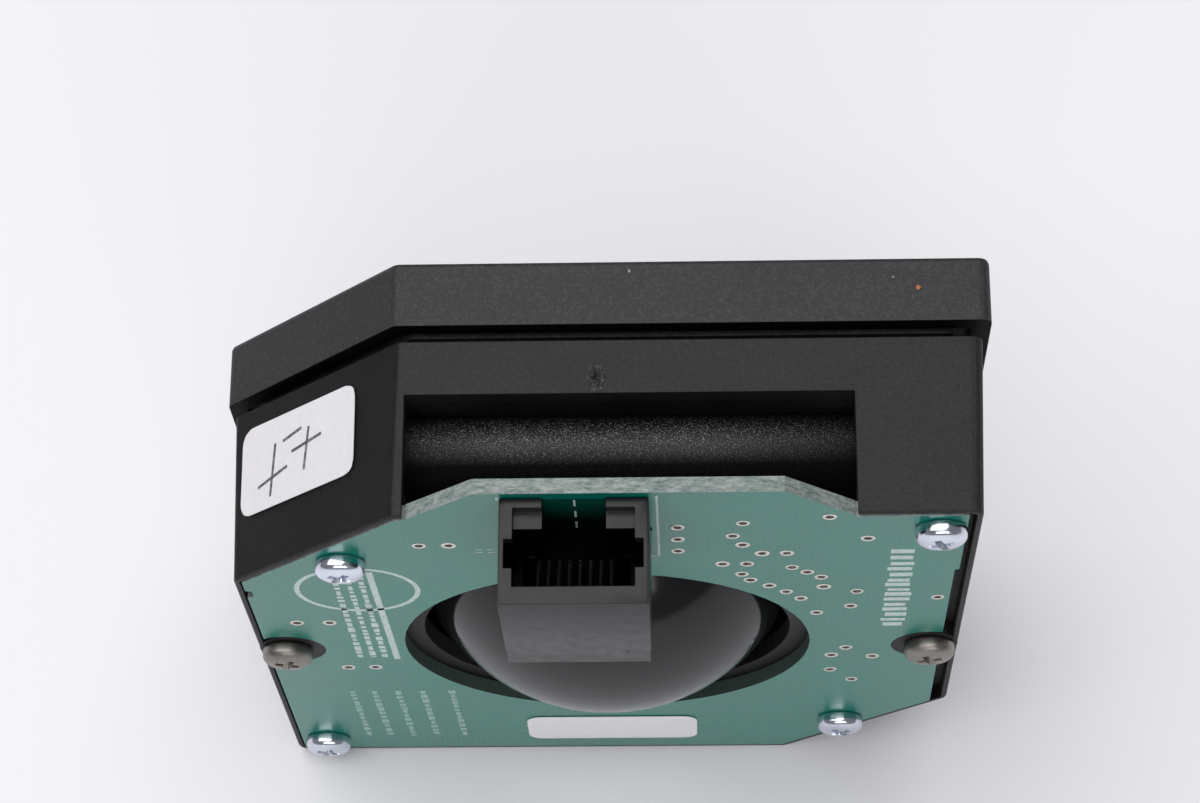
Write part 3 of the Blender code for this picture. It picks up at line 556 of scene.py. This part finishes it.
def surface(node):
    ob = NODES[node]
    return BVHTree.FromPolygons([v.co for v in ob.data.vertices], [p.vertices[:] for p in ob.data.polygons])


# ---- ball, ring and screws ----
def ball_piece():
    """A quad sphere, fine enough that its outline shows no corners."""
    bm = bmesh.new()
    bmesh.ops.create_cube(bm, size=2)
    bmesh.ops.subdivide_edges(bm, edges=bm.edges[:], cuts=27, use_grid_fill=True)
    for vert in bm.verts:
        even = Vector([math.tan(c * math.pi / 4) for c in vert.co])
        vert.co = BALL + even.normalized() * BALL_R
    add("ball_surface", bm, PHENOLIC, "ball", ["trackball"], smooth=180)


def ring_piece():
    """The ring around the ball on the lid: a flat land, a rounded lip and a sloping throat."""
    lo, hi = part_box("retaining_ring")
    outer = (hi.x - lo.x) / 2
    height = hi.y - lo.y
    throat = 19.3 * MM
    edge = 0.25 * MM
    profile = [(outer, height - 0.85 * MM), (outer - 1.2 * MM, height - 0.85 * MM), (outer - 1.2 * MM, 0),
               (outer - 2.4 * MM, 0)]
    profile += arc(throat + 0.45 * MM, height - 0.4 * MM, 0.4 * MM, 190, 90, 6)
    profile += [(outer - 1.5 * MM, height), (outer - 1.4 * MM, height - 0.15 * MM),
                (outer - 1.2 * MM, height - 0.15 * MM), (outer - 1.1 * MM, height)]
    profile += arc(outer - edge, height - edge, edge, 90, 0, 4)
    bm = bmesh.new()
    lathe(bm, profile, (BALL.x, lo.y, BALL.z), (0, 1, 0), 128)
    add("ring_face", bm, RING, replaced=["retaining_ring"], smooth=30)


def seal_piece():
    """The felt wiper: a ring whose lip is uneven where the ball rubs."""
    lo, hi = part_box("wiper_seal")
    outer, height = (hi.x - lo.x) / 2, hi.y - lo.y
    bm = bmesh.new()
    profile = [(outer, 0.1 * MM), (outer, height - 0.1 * MM), (outer - 0.2 * MM, height),
               (21.7 * MM, height - 0.05 * MM), (21.68 * MM, height - 0.5 * MM), (21.85 * MM, 0.1 * MM)]
    lathe(bm, profile, (BALL.x, lo.y, BALL.z), (0, 1, 0), 128)
    for vert in bm.verts:
        away = vert.co - BALL
        vert.co += Vector((away.x, 0, away.z)).normalized() * noise.noise(vert.co * 900) * 0.08 * MM
    add("wiper_felt", bm, FELT, replaced=["wiper_seal"], smooth=40)


def screw_piece(node, mat, slot):
    """A pan-head cross screw with a rounded crown, a thin rim and a tapered cross recess."""
    lo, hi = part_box(node)
    centre = Vector(((lo.x + hi.x) / 2, 0, (lo.z + hi.z) / 2))
    head_r = (hi.x - lo.x) / 2
    head = 2.0 * MM if slot == "nickel" else 1.9 * MM
    seat = lo.y + head
    shank = 1.25 * MM
    rim = 0.28 * MM
    profile = [(0, hi.y - seat), (shank - 0.5 * MM, hi.y - seat)]
    thread_start, thread_end, pitch = 1.2 * MM, hi.y - seat - 0.9 * MM, 0.6 * MM
    turns = int((thread_end - thread_start) / pitch)
    for k in range(turns, 0, -1):
        profile += [(shank, thread_start + k * pitch), (shank - 0.28 * MM, thread_start + (k - 0.5) * pitch)]
    profile += [(shank, thread_start), (shank, 0.0), (head_r - rim, 0.0)]
    profile += arc(head_r - rim, -rim, rim, 90, 0, 4)
    crown = [(head_r * math.cos(a) ** 0.55, -0.42 * head - 0.58 * head * math.sin(a))
             for a in [math.pi / 2 * k / 12 for k in range(12)]]
    profile += crown + [(0, -head)]
    bm = bmesh.new()
    lathe(bm, profile, (centre.x, seat, centre.z), (0, 1, 0), 56)
    ob = add(node + "_piece", bm, mat, body=None, smooth=35)
    tools = []
    reach, width, depth = head_r * 0.58, head_r * 0.16, 1.15 * MM
    for tag, turn in (("a", 0.0), ("b", math.pi / 2)):
        arm = bmesh.new()
        for vert in block(arm, (-reach, -0.3 * MM, -width), (reach, depth, width)):
            if vert.co.y > 0:
                vert.co.x *= 0.42
                vert.co.z *= 0.6
        spin = Matrix.Rotation(turn + 0.35 * centre.x / (10 * MM), 4, "Y")
        place = Matrix.Translation((centre.x, lo.y, centre.z)) @ spin
        bmesh.ops.transform(arm, matrix=place, verts=arm.verts)
        tools.append(add(f"{node}_arm_{tag}", arm, mat, body=None))
    cone = bmesh.new()
    recess = [(0, -0.3 * MM), (head_r * 0.28, -0.3 * MM), (head_r * 0.25, 0.05 * MM),
              (head_r * 0.10, 1.3 * MM), (0, 1.4 * MM)]
    lathe(cone, recess, (centre.x, lo.y, centre.z), (0, 1, 0), 24)
    tools.append(add(f"{node}_cone", cone, mat, body=None))
    carve(ob, tools)
    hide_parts(node)
    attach(ob, "housing")


# ---- jack ----
def jack_piece():
    """The jack's shell with softened edges, side keys, latch slot and rear step."""
    top = JACK_HI.y - 1.4 * MM             # the face that lies on the board, under the pegs
    front, back = JACK_MOUTH, JACK_LO.z
    out = JACK_LO.y
    shell = rounded_block("jack_shell", (JACK_LO.x, out, back), (JACK_HI.x, top, front), 0.16 * MM, JACK)
    left, right, tall = JACK_X - MOUTH_HALF, JACK_X + MOUTH_HALF, 1.8 * MM
    face = 2.8 * MM                        # from the board side to the plug's opening
    cuts = {
        "mouth": ((left, out + tall, front - 8.9 * MM), (right, top - face, front + MM)),
        "lead": ((left, top - face - 0.3 * MM, front - 1.1 * MM), (right, top - 1.0 * MM, front + MM)),
        "latch": ((JACK_X - 3.1 * MM, top - face - 0.3 * MM, front - 9 * MM),
                  (JACK_X + 3.1 * MM, top + MM, front + MM)),
        "keys": ((JACK_X - KEY_HALF, out + 3.7 * MM, front - 8.9 * MM),
                 (JACK_X + KEY_HALF, out + 6.7 * MM, front + MM)),
        "rear": ((JACK_X - 5.3 * MM, out + tall, back + 0.9 * MM),
                 (JACK_X + 5.3 * MM, top + MM, front - 8.5 * MM)),
    }
    tools = [rounded_block(f"jack_cut_{name}", lo, hi, 0.0) for name, (lo, hi) in cuts.items()]
    for side in (-1, 1):
        edge = JACK_X + side * (JACK_HI.x - JACK_LO.x) / 2
        lo = (min(edge - side * 0.12 * MM, edge + side * MM), out - MM, back - MM)
        hi = (max(edge - side * 0.12 * MM, edge + side * MM), top + MM, back + 3.4 * MM)
        tools.append(rounded_block(f"jack_cut_step_{'right' if side > 0 else 'left'}", lo, hi, 0.0))
    carve(shell, tools)
    bm = bmesh.new()
    for side in (-1, 1):
        peg = [(0, -0.5 * MM), (1.5 * MM, -0.5 * MM), (1.5 * MM, 1.1 * MM), (1.3 * MM, 1.35 * MM),
               (0, 1.35 * MM)]
        lathe(bm, peg, (JACK_X + side * 5.7 * MM, top, front - 9 * MM), (0, 1, 0), 32)
    add("jack_pegs", bm, JACK, smooth=40)
    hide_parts("modular_jack")
    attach(shell, "housing")
    jack_trim(out, front, back)
    contact_wires(out, front)


def contact_wires(out, front):
    """Sprung contact wires: along the floor, folded back at the mouth and rising towards the rear."""
    for k in range(CONTACTS):
        x = JACK_X + (k - (CONTACTS - 1) / 2) * CONTACT_PITCH
        path = [(front - 12.5 * MM, out + 2.1 * MM), (front - 8.0 * MM, out + 2.05 * MM),
                (front - 3.2 * MM, out + 2.05 * MM), (front - 2.75 * MM, out + 2.15 * MM),
                (front - 2.65 * MM, out + 2.4 * MM), (front - 2.9 * MM, out + 2.65 * MM),
                (front - 4.9 * MM, out + 6.0 * MM), (front - 5.3 * MM, out + 6.3 * MM),
                (front - 8.7 * MM, out + 6.7 * MM)]
        curve = bpy.data.curves.new("wire", "CURVE")
        curve.dimensions = "3D"
        curve.bevel_depth = 0.17 * MM
        curve.bevel_resolution = 3
        curve.use_fill_caps = True
        spline = curve.splines.new("POLY")
        spline.points.add(len(path) - 1)
        for point, (z, y) in zip(spline.points, path):
            point.co = (x, y, z, 1)
        guide = bpy.data.objects.new("wire_guide", curve)
        bpy.context.scene.collection.objects.link(guide)
        mesh = bpy.data.meshes.new_from_object(guide.evaluated_get(bpy.context.evaluated_depsgraph_get()))
        bpy.data.objects.remove(guide)
        bm = bmesh.new()
        bm.from_mesh(mesh)
        bmesh.ops.remove_doubles(bm, verts=bm.verts, dist=1e-7)
        add(f"contact_wire_{k + 1}", bm, GOLD, smooth=50)


def jack_trim(out, front, back):
    """Small moulded detail: ribs between the contacts, and a gate mark on the outer face."""
    bm = bmesh.new()
    for k in range(CONTACTS + 1):
        x = JACK_X + (k - CONTACTS / 2) * CONTACT_PITCH
        lo = Vector((x - 0.13 * MM, out + 1.75 * MM, front - 8.6 * MM))
        hi = Vector((x + 0.13 * MM, out + 2.5 * MM, front - 2.3 * MM))
        block(bm, lo, hi)
    add("jack_comb", bm, JACK, smooth=30)
    bm = bmesh.new()
    mark = [(0, 0.02 * MM), (0.14 * MM, 0.03 * MM), (0.2 * MM, 0.01 * MM), (0.22 * MM, -0.05 * MM),
            (0, -0.05 * MM)]
    lathe(bm, mark, (JACK_X + 4.9 * MM, out, back + 3.2 * MM), (0, -1, 0), 20)
    add("jack_gate_mark", bm, JACK, smooth=40)


# ---- board print, pads and solder ----
def lead_row(u, v, step_u=0.0, step_v=0.0, count=1):
    """The holes of one straight row of leads, from its first hole."""
    return [(u + k * step_u, v + k * step_v) for k in range(count)]


def lead_arc(radius, first, step, count):
    """Lead holes that follow the ball's opening; angles in degrees."""
    turns = [math.radians(first - k * step) for k in range(count)]
    return [(radius * math.cos(a), radius * math.sin(a)) for a in turns]


LEADS = {
    "header": lead_row(8.0, 35.0, step_v=-3.3, count=3),
    "pair_left_of_jack": lead_row(-18.0, 30.5, step_u=3.0, count=2),
    "tall_pair": lead_row(14.5, 36.0, step_v=-6.0, count=2),
    "upper_test_points": lead_row(13.5, 32.5) + lead_row(23.0, 37.5) + lead_row(27.0, 31.5),
    "short_pairs": lead_row(16.5, 27.5, step_u=2.5, count=2) + lead_row(12.5, 24.5, step_u=2.5, count=2),
    "outer_arc": lead_arc(30.5, 50, 4, 3),
    "inner_arc": lead_row(14.5, 21.5) + lead_arc(25.0, 52, 6, 4),
    "slanted_pairs": lead_row(23.0, 17.5, 3.5, -1.5, 2) + lead_row(26.0, 11.5, -3.5, -2.0, 2),
    "side_test_point": lead_row(35.0, 14.0),
    "right_optics": lead_row(24.5, -4.5, step_v=-5.0, count=2) + lead_row(26.0, -2.0, 3.0, -3.0, 2),
    "right_test_point": lead_row(27.0, -13.0),
    "left_optics": lead_row(-33.0, 7.5, step_u=3.5, count=2) + lead_row(-29.0, -7.5, step_u=3.0, count=2),
}


def pads():
    """Plated rings around the lead holes, each with a dark disc of painted shade over its hole and the cut
    end of a lead.
    """
    draw = random.Random(7)
    rings, holes, leads = bmesh.new(), bmesh.new(), bmesh.new()
    for u, v in [hole for group in LEADS.values() for hole in group]:
        r_out, r_in = draw.uniform(0.70, 0.78) * MM, draw.uniform(0.40, 0.45) * MM
        centre = on_board(u, v)
        lip = 0.05 * MM
        lathe(rings, [(r_in, 0.01 * MM), (r_in + 0.03 * MM, lip), ((r_in + r_out) / 2, lip * 1.3),
                      (r_out - 0.04 * MM, lip), (r_out, 0.01 * MM)], centre, (0, -1, 0), 28)
        # painted shade: a thin dark disc over each hole
        plug = [(0, 0.025 * MM), (r_in + 0.02 * MM, 0.02 * MM), (r_in + 0.02 * MM, 0.004 * MM),
                (0, 0.004 * MM)]
        lathe(holes, plug, centre, (0, -1, 0), 20)
        tilt = Vector((draw.uniform(-0.14, 0.14), 0, draw.uniform(-0.14, 0.14))) * MM
        if draw.random() < 0.5:
            continue
        lathe(leads, [(0, 0.16 * MM), (0.15 * MM, 0.13 * MM), (0.19 * MM, 0.02 * MM), (0, 0.015 * MM)],
              centre + tilt, (0, -1, 0), 10)
    add("pad_rings", rings, TIN, smooth=50)
    add("pad_hole_shade", holes, HOLE_SHADE, smooth=50)
    add("pad_leads", leads, OLD_TIN, smooth=50)


def print_ring(bm, u, v, radius, width):
    r_out, r_in = (radius + width / 2) * MM, (radius - width / 2) * MM
    band = [(r_in, 0.004 * MM), (r_in, 0.03 * MM), (r_out, 0.03 * MM), (r_out, 0.004 * MM)]
    lathe(bm, band, on_board(u, v), (0, -1, 0), 72)


def dashes(bm, draw, start, end, width):
    """A row of short dashes of uneven length, where a line of print would be."""
    start, end = Vector(start), Vector(end)
    span = (end - start).length
    at = 0.0
    while at < span:
        length = draw.uniform(0.5, 1.5)
        a, b = (start.lerp(end, min(1, t / span)) for t in (at, at + length))
        stroke(bm, a, b, width * draw.uniform(0.6, 1.0))
        at += length + draw.uniform(0.25, 0.6)


def silkscreen():
    """Generic print: the jack's outline, a component circle, tick rows and blank blocks in place of text."""
    bm, faint = bmesh.new(), bmesh.new()
    middle, mouth = (JACK_X - BALL.x) / MM, (JACK_MOUTH - BALL.z) / MM
    side, back, line = 8.0, mouth - 16.5, 0.22
    stroke(bm, (middle + side, mouth), (middle + side, back), line)
    stroke(bm, (middle + side, back), (middle + side - 1.1, back), line)
    stroke(bm, (middle - side + 0.5, mouth), (middle - side + 0.5, mouth - 0.8), line)
    for k in range(3):
        stroke(bm, (middle, mouth - 1.0 - 2.9 * k), (middle, mouth - 2.5 - 2.9 * k), line)
    for u in (-12.4, -11.2):
        stroke(bm, (u, 29.3), (u + 0.7, 29.3), 0.16)
        stroke(bm, (u, 28.5), (u + 0.7, 28.5), 0.16)
    print_ring(bm, -25.5, 17.7, 6.3, 0.55)
    stroke(bm, (-23.8, 23.0), (-23.3, -4.7), 0.7)
    draw = random.Random(11)
    for u in (-27.6, -26.2, -24.9):
        dashes(bm, draw, (u, 21.5), (u + 0.3, -4.0), 0.75)
    v = 27.8
    while v > 5.3:
        tall = draw.uniform(0.6, 1.1)
        stroke(bm, (29.3 + draw.uniform(0, 0.5), v), (32.2 - draw.uniform(0, 0.5), v), tall)
        v -= tall + draw.uniform(0.35, 0.8)
    for u in (-29.5, -27.0, -24.3, -21.5, -18.2):
        dashes(faint, draw, (u, -16.0), (u + 0.4, -33.0), 0.8)
    add("silkscreen_faint", faint, FAINT)
    add("silkscreen_print", bm, SILK)


def board_labels():
    """The strip label: rounded, thin, with a slight crown."""
    lo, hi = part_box("board_label")
    bm = bmesh.new()
    radius = 1.6 * MM
    outline = []
    for cx, cz, start in ((hi.x - radius, hi.z - radius, 0), (lo.x + radius, hi.z - radius, 90),
                          (lo.x + radius, lo.z + radius, 180), (hi.x - radius, lo.z + radius, 270)):
        for k in range(7):
            a = math.radians(start + 15 * k)
            outline.append(Vector((cx + radius * math.cos(a), 0, cz + radius * math.sin(a))))
    centre = Vector(((lo.x + hi.x) / 2, 0, (lo.z + hi.z) / 2))
    loops = []
    for share, y in ((1.0, hi.y), (1.0, lo.y + 0.03 * MM), (0.97, lo.y), (0.6, lo.y + 0.01 * MM)):
        loops.append([bm.verts.new(centre + (p - centre) * share + Vector((0, y, 0))) for p in outline])
    for a, b in zip(loops, loops[1:]):
        for k in range(len(a)):
            bm.faces.new([a[k], a[(k + 1) % len(a)], b[(k + 1) % len(a)], b[k]])
    bm.faces.new(loops[0])
    bm.faces.new(loops[-1])
    add("board_strip_label", bm, PAPER, replaced=["board_label"], smooth=30)


def corner_sticker():
    """The paper label on the cut corner, with lifted edges and a few pen strokes."""
    node = NODES["corner_label"]
    largest = max(node.data.polygons, key=lambda p: p.area)
    normal = largest.normal.copy()
    if normal.z < 0:
        normal = -normal
    centre = sum((v.co for v in node.data.vertices), Vector()) / len(node.data.vertices)
    up = Vector((0, 1, 0))
    up = (up - normal * up.dot(normal)).normalized()
    right = up.cross(normal).normalized()
    half_l, half_h, corner, thick = 9.25 * MM, 4.9 * MM, 1.7 * MM, 0.07 * MM
    columns, rows = 38, 22
    bm = bmesh.new()
    grid = {}

    def squeeze(s, h):
        """Keeps a grid point inside the rounded outline."""
        dx, dy = abs(s) - (half_l - corner), abs(h) - (half_h - corner)
        if dx > 0 and dy > 0 and math.hypot(dx, dy) > corner:
            pull = corner / math.hypot(dx, dy)
            s = math.copysign(half_l - corner + dx * pull, s)
            h = math.copysign(half_h - corner + dy * pull, h)
        return s, h

    for i in range(columns + 1):
        for j in range(rows + 1):
            s, h = squeeze((2 * i / columns - 1) * half_l, (2 * j / rows - 1) * half_h)
            edge = max(abs(s) / half_l, abs(h) / half_h)
            lift = 0.01 * MM + 0.05 * MM * max(0, edge - 0.86) / 0.14
            lift += 0.012 * MM * noise.noise(Vector((s, h, 0)) * 300)
            grid[i, j] = bm.verts.new(centre + right * s + up * h + normal * lift)
    for i in range(columns):
        for j in range(rows):
            bm.faces.new([grid[i, j], grid[i + 1, j], grid[i + 1, j + 1], grid[i, j + 1]])
    bmesh.ops.remove_doubles(bm, verts=bm.verts, dist=1e-7)
    bmesh.ops.solidify(bm, geom=bm.faces[:], thickness=thick)
    add("corner_sticker", bm, STICKER, replaced=["corner_label"], smooth=40)
    pen = bmesh.new()
    strokes = [[(-6.4, -2.2), (-1.6, -1.1)], [(-3.7, 2.0), (-4.3, -3.7)],
               [(-2.4, 1.9), (0.6, 2.5)], [(1.8, 2.3), (1.2, -2.3)], [(-0.9, 0.3), (3.9, 0.9)]]
    for points in strokes:
        for a, b in zip(points, points[1:]):
            a, b = Vector(a) * MM, Vector(b) * MM
            across = (b - a).orthogonal().normalized() * 0.16 * MM
            corners = [a - across, b - across, b + across, a + across]
            low = [pen.verts.new(centre + right * c.x + up * c.y + normal * 0.02 * MM) for c in corners]
            high = [pen.verts.new(centre + right * c.x + up * c.y + normal * 0.055 * MM) for c in corners]
            pen.faces.new(low)
            pen.faces.new(high)
            for k in range(4):
                pen.faces.new([low[k], low[(k + 1) % 4], high[(k + 1) % 4], high[k]])
    add("pen_strokes", pen, PEN)


# ---- marks on the moulding ----
def gate_scar():
    """The torn gate on the window wall: a rough patch with a dark rim that reaches the window's edge."""
    wall = surface("base_housing")
    columns, rows, width, tall = 24, 34, 2.3 * MM, 3.0 * MM
    bm = bmesh.new()
    grid = {}
    start = Vector((BALL.x + 0.05 * MM, FACE + 14.5 * MM, WALL_TOP + 5 * MM))
    for i in range(columns + 1):
        for j in range(rows + 1):
            probe = start + Vector(((i / columns - 0.5) * width, (j / rows - 0.5) * tall, 0))
            spot = wall.ray_cast(probe, Vector((0, 0, -1)))[0]
            reach = math.hypot((i / columns - 0.5) * 2, (j / rows - 0.5) * 2)
            rough = noise.noise(probe * 5200) * 0.6 + noise.noise(probe * 1700) * 0.7
            height = max(0.0, 1.05 - reach) * (0.20 + 0.85 * rough) * MM
            grid[i, j] = bm.verts.new(spot + Vector((0, 0, height - 0.03 * MM)))
    for i in range(columns):
        for j in range(rows):
            bm.faces.new([grid[i, j], grid[i + 1, j], grid[i + 1, j + 1], grid[i, j + 1]])
    add("gate_scar", bm, SCAR, smooth=20)


def half_round():
    """The smooth half-round wall behind the window, slightly proud of the moulding it lies on."""
    steps, inner = 72, TROUGH_R - 0.3 * MM
    outer = TROUGH_R + 0.04 * MM
    turns = [math.pi * (0.5 + k / steps) for k in range(steps + 1)]
    section = [(outer * math.cos(a), outer * math.sin(a)) for a in turns]
    section += [(inner * math.cos(a), inner * math.sin(a)) for a in reversed(turns)]
    bm = bmesh.new()
    ends = []
    for x in (WINDOW[0] - 0.1 * MM, WINDOW[1] + 0.1 * MM):
        at = BALL.x + x
        ends.append([bm.verts.new((at, TROUGH_Y + rise, TROUGH_Z - reach)) for reach, rise in section])
    count = len(section)
    for k in range(count):
        bm.faces.new([ends[0][k], ends[0][(k + 1) % count], ends[1][(k + 1) % count], ends[1][k]])
    bm.faces.new(ends[0])
    bm.faces.new(ends[1][::-1])
    add("window_half_round", bm, SPARKLE_AND_HIGHLIGHT, smooth=30)


def crumbs():
    """Dust on the lid's top edge."""
    lid = surface("top_housing")
    spots = {"dust_left": (3.4, 39.2, 0.16, DUST), "dust_right": (29.9, 38.2, 0.12, DUST),
             "dust_low": (33.7, 31.6, 0.12, DUST), "crumb_orange": (32.4, 37.0, 0.28, CRUMB)}
    for name, (u, t, radius, mat) in spots.items():
        probe = Vector((BALL.x + u * MM, BOARD_LO.y + (t - 13.2) * MM, CAD_BOX[1][2] + 5 * MM))
        spot = lid.ray_cast(probe, Vector((0, 0, -1)))[0]
        bm = bmesh.new()
        bmesh.ops.create_icosphere(bm, subdivisions=2, radius=radius * MM)
        for vert in bm.verts:
            vert.co *= 1 + 0.6 * noise.noise(vert.co * 9000 + Vector((u, t, 0)))
            vert.co.z *= 0.5
            vert.co += spot + Vector((0, 0, 0.3 * radius * MM))
        add(name, bm, mat, smooth=60)


ball_piece()
ring_piece()
seal_piece()
for place in ("near_right", "near_left", "far_right", "far_left"):
    screw_piece(f"board_screw_{place}", ZINC, "zinc")
for place in ("right", "left"):
    screw_piece(f"housing_screw_{place}", NICKEL, "nickel")
jack_piece()
pads()
silkscreen()
board_labels()
corner_sticker()
gate_scar()
half_round()
crumbs()


# ---- floor, light and camera ----
def floor():
    bm = bmesh.new()
    bmesh.ops.create_grid(bm, x_segments=8, y_segments=8, size=3)
    mesh = bpy.data.meshes.new("table_floor")
    bm.to_mesh(mesh)
    bm.free()
    ob = bpy.data.objects.new("table_floor", mesh)
    bpy.context.scene.collection.objects.link(ob)
    mesh.materials.append(tabletop())
    ob.location.z = -0.0002


def area_light(name, place, target, size, power):
    data = bpy.data.lights.new(name, "AREA")
    data.shape = "RECTANGLE"
    data.size, data.size_y = size
    data.energy = power
    ob = bpy.data.objects.new(name, data)
    bpy.context.scene.collection.objects.link(ob)
    ob.location = place
    ob.rotation_euler = (Vector(target) - Vector(place)).to_track_quat("-Z", "Y").to_euler()


def studio():
    world = bpy.data.worlds.new("studio")
    bpy.context.scene.world = world
    world.use_nodes = True
    sky = world.node_tree.nodes["Background"]
    sky.inputs["Color"].default_value = (0.93, 0.94, 1.0, 1)
    sky.inputs["Strength"].default_value = 0.22
    area_light("key", (-0.34, 0.13, 1.55), (-0.06, 0.04, 0), (2.3, 2.1), 35)
    area_light("front", (0.1, -1.5, 0.9), (0, 0, 0.03), (1.4, 0.7), 7)
    bpy.context.scene.view_settings.view_transform = "Standard"


def camera():
    """The view of the photograph: almost straight down, a little from the board's side."""
    yaw, pitch, roll = -0.0343, 0.4044, -0.0031
    eye = Vector((0.010657, BALL.y - 0.130675, BALL.z + 0.336045))
    forward = Vector((math.sin(yaw) * math.cos(pitch), math.sin(pitch), -math.cos(yaw) * math.cos(pitch)))
    across = Vector((math.cos(yaw), 0, math.sin(yaw)))
    down = forward.cross(across)
    right = across * math.cos(roll) + down * math.sin(roll)
    down = down * math.cos(roll) - across * math.sin(roll)
    data = bpy.data.cameras.new("photo_view")
    data.sensor_width = 36
    data.lens = 97.65
    data.clip_start = 0.01
    ob = bpy.data.objects.new("photo_view", data)
    bpy.context.scene.collection.objects.link(ob)
    turn = Matrix((right, -down, -forward)).transposed().to_4x4()
    ob.matrix_world = Matrix.Translation(eye) @ turn
    bpy.context.scene.camera = ob


floor()
studio()
camera()
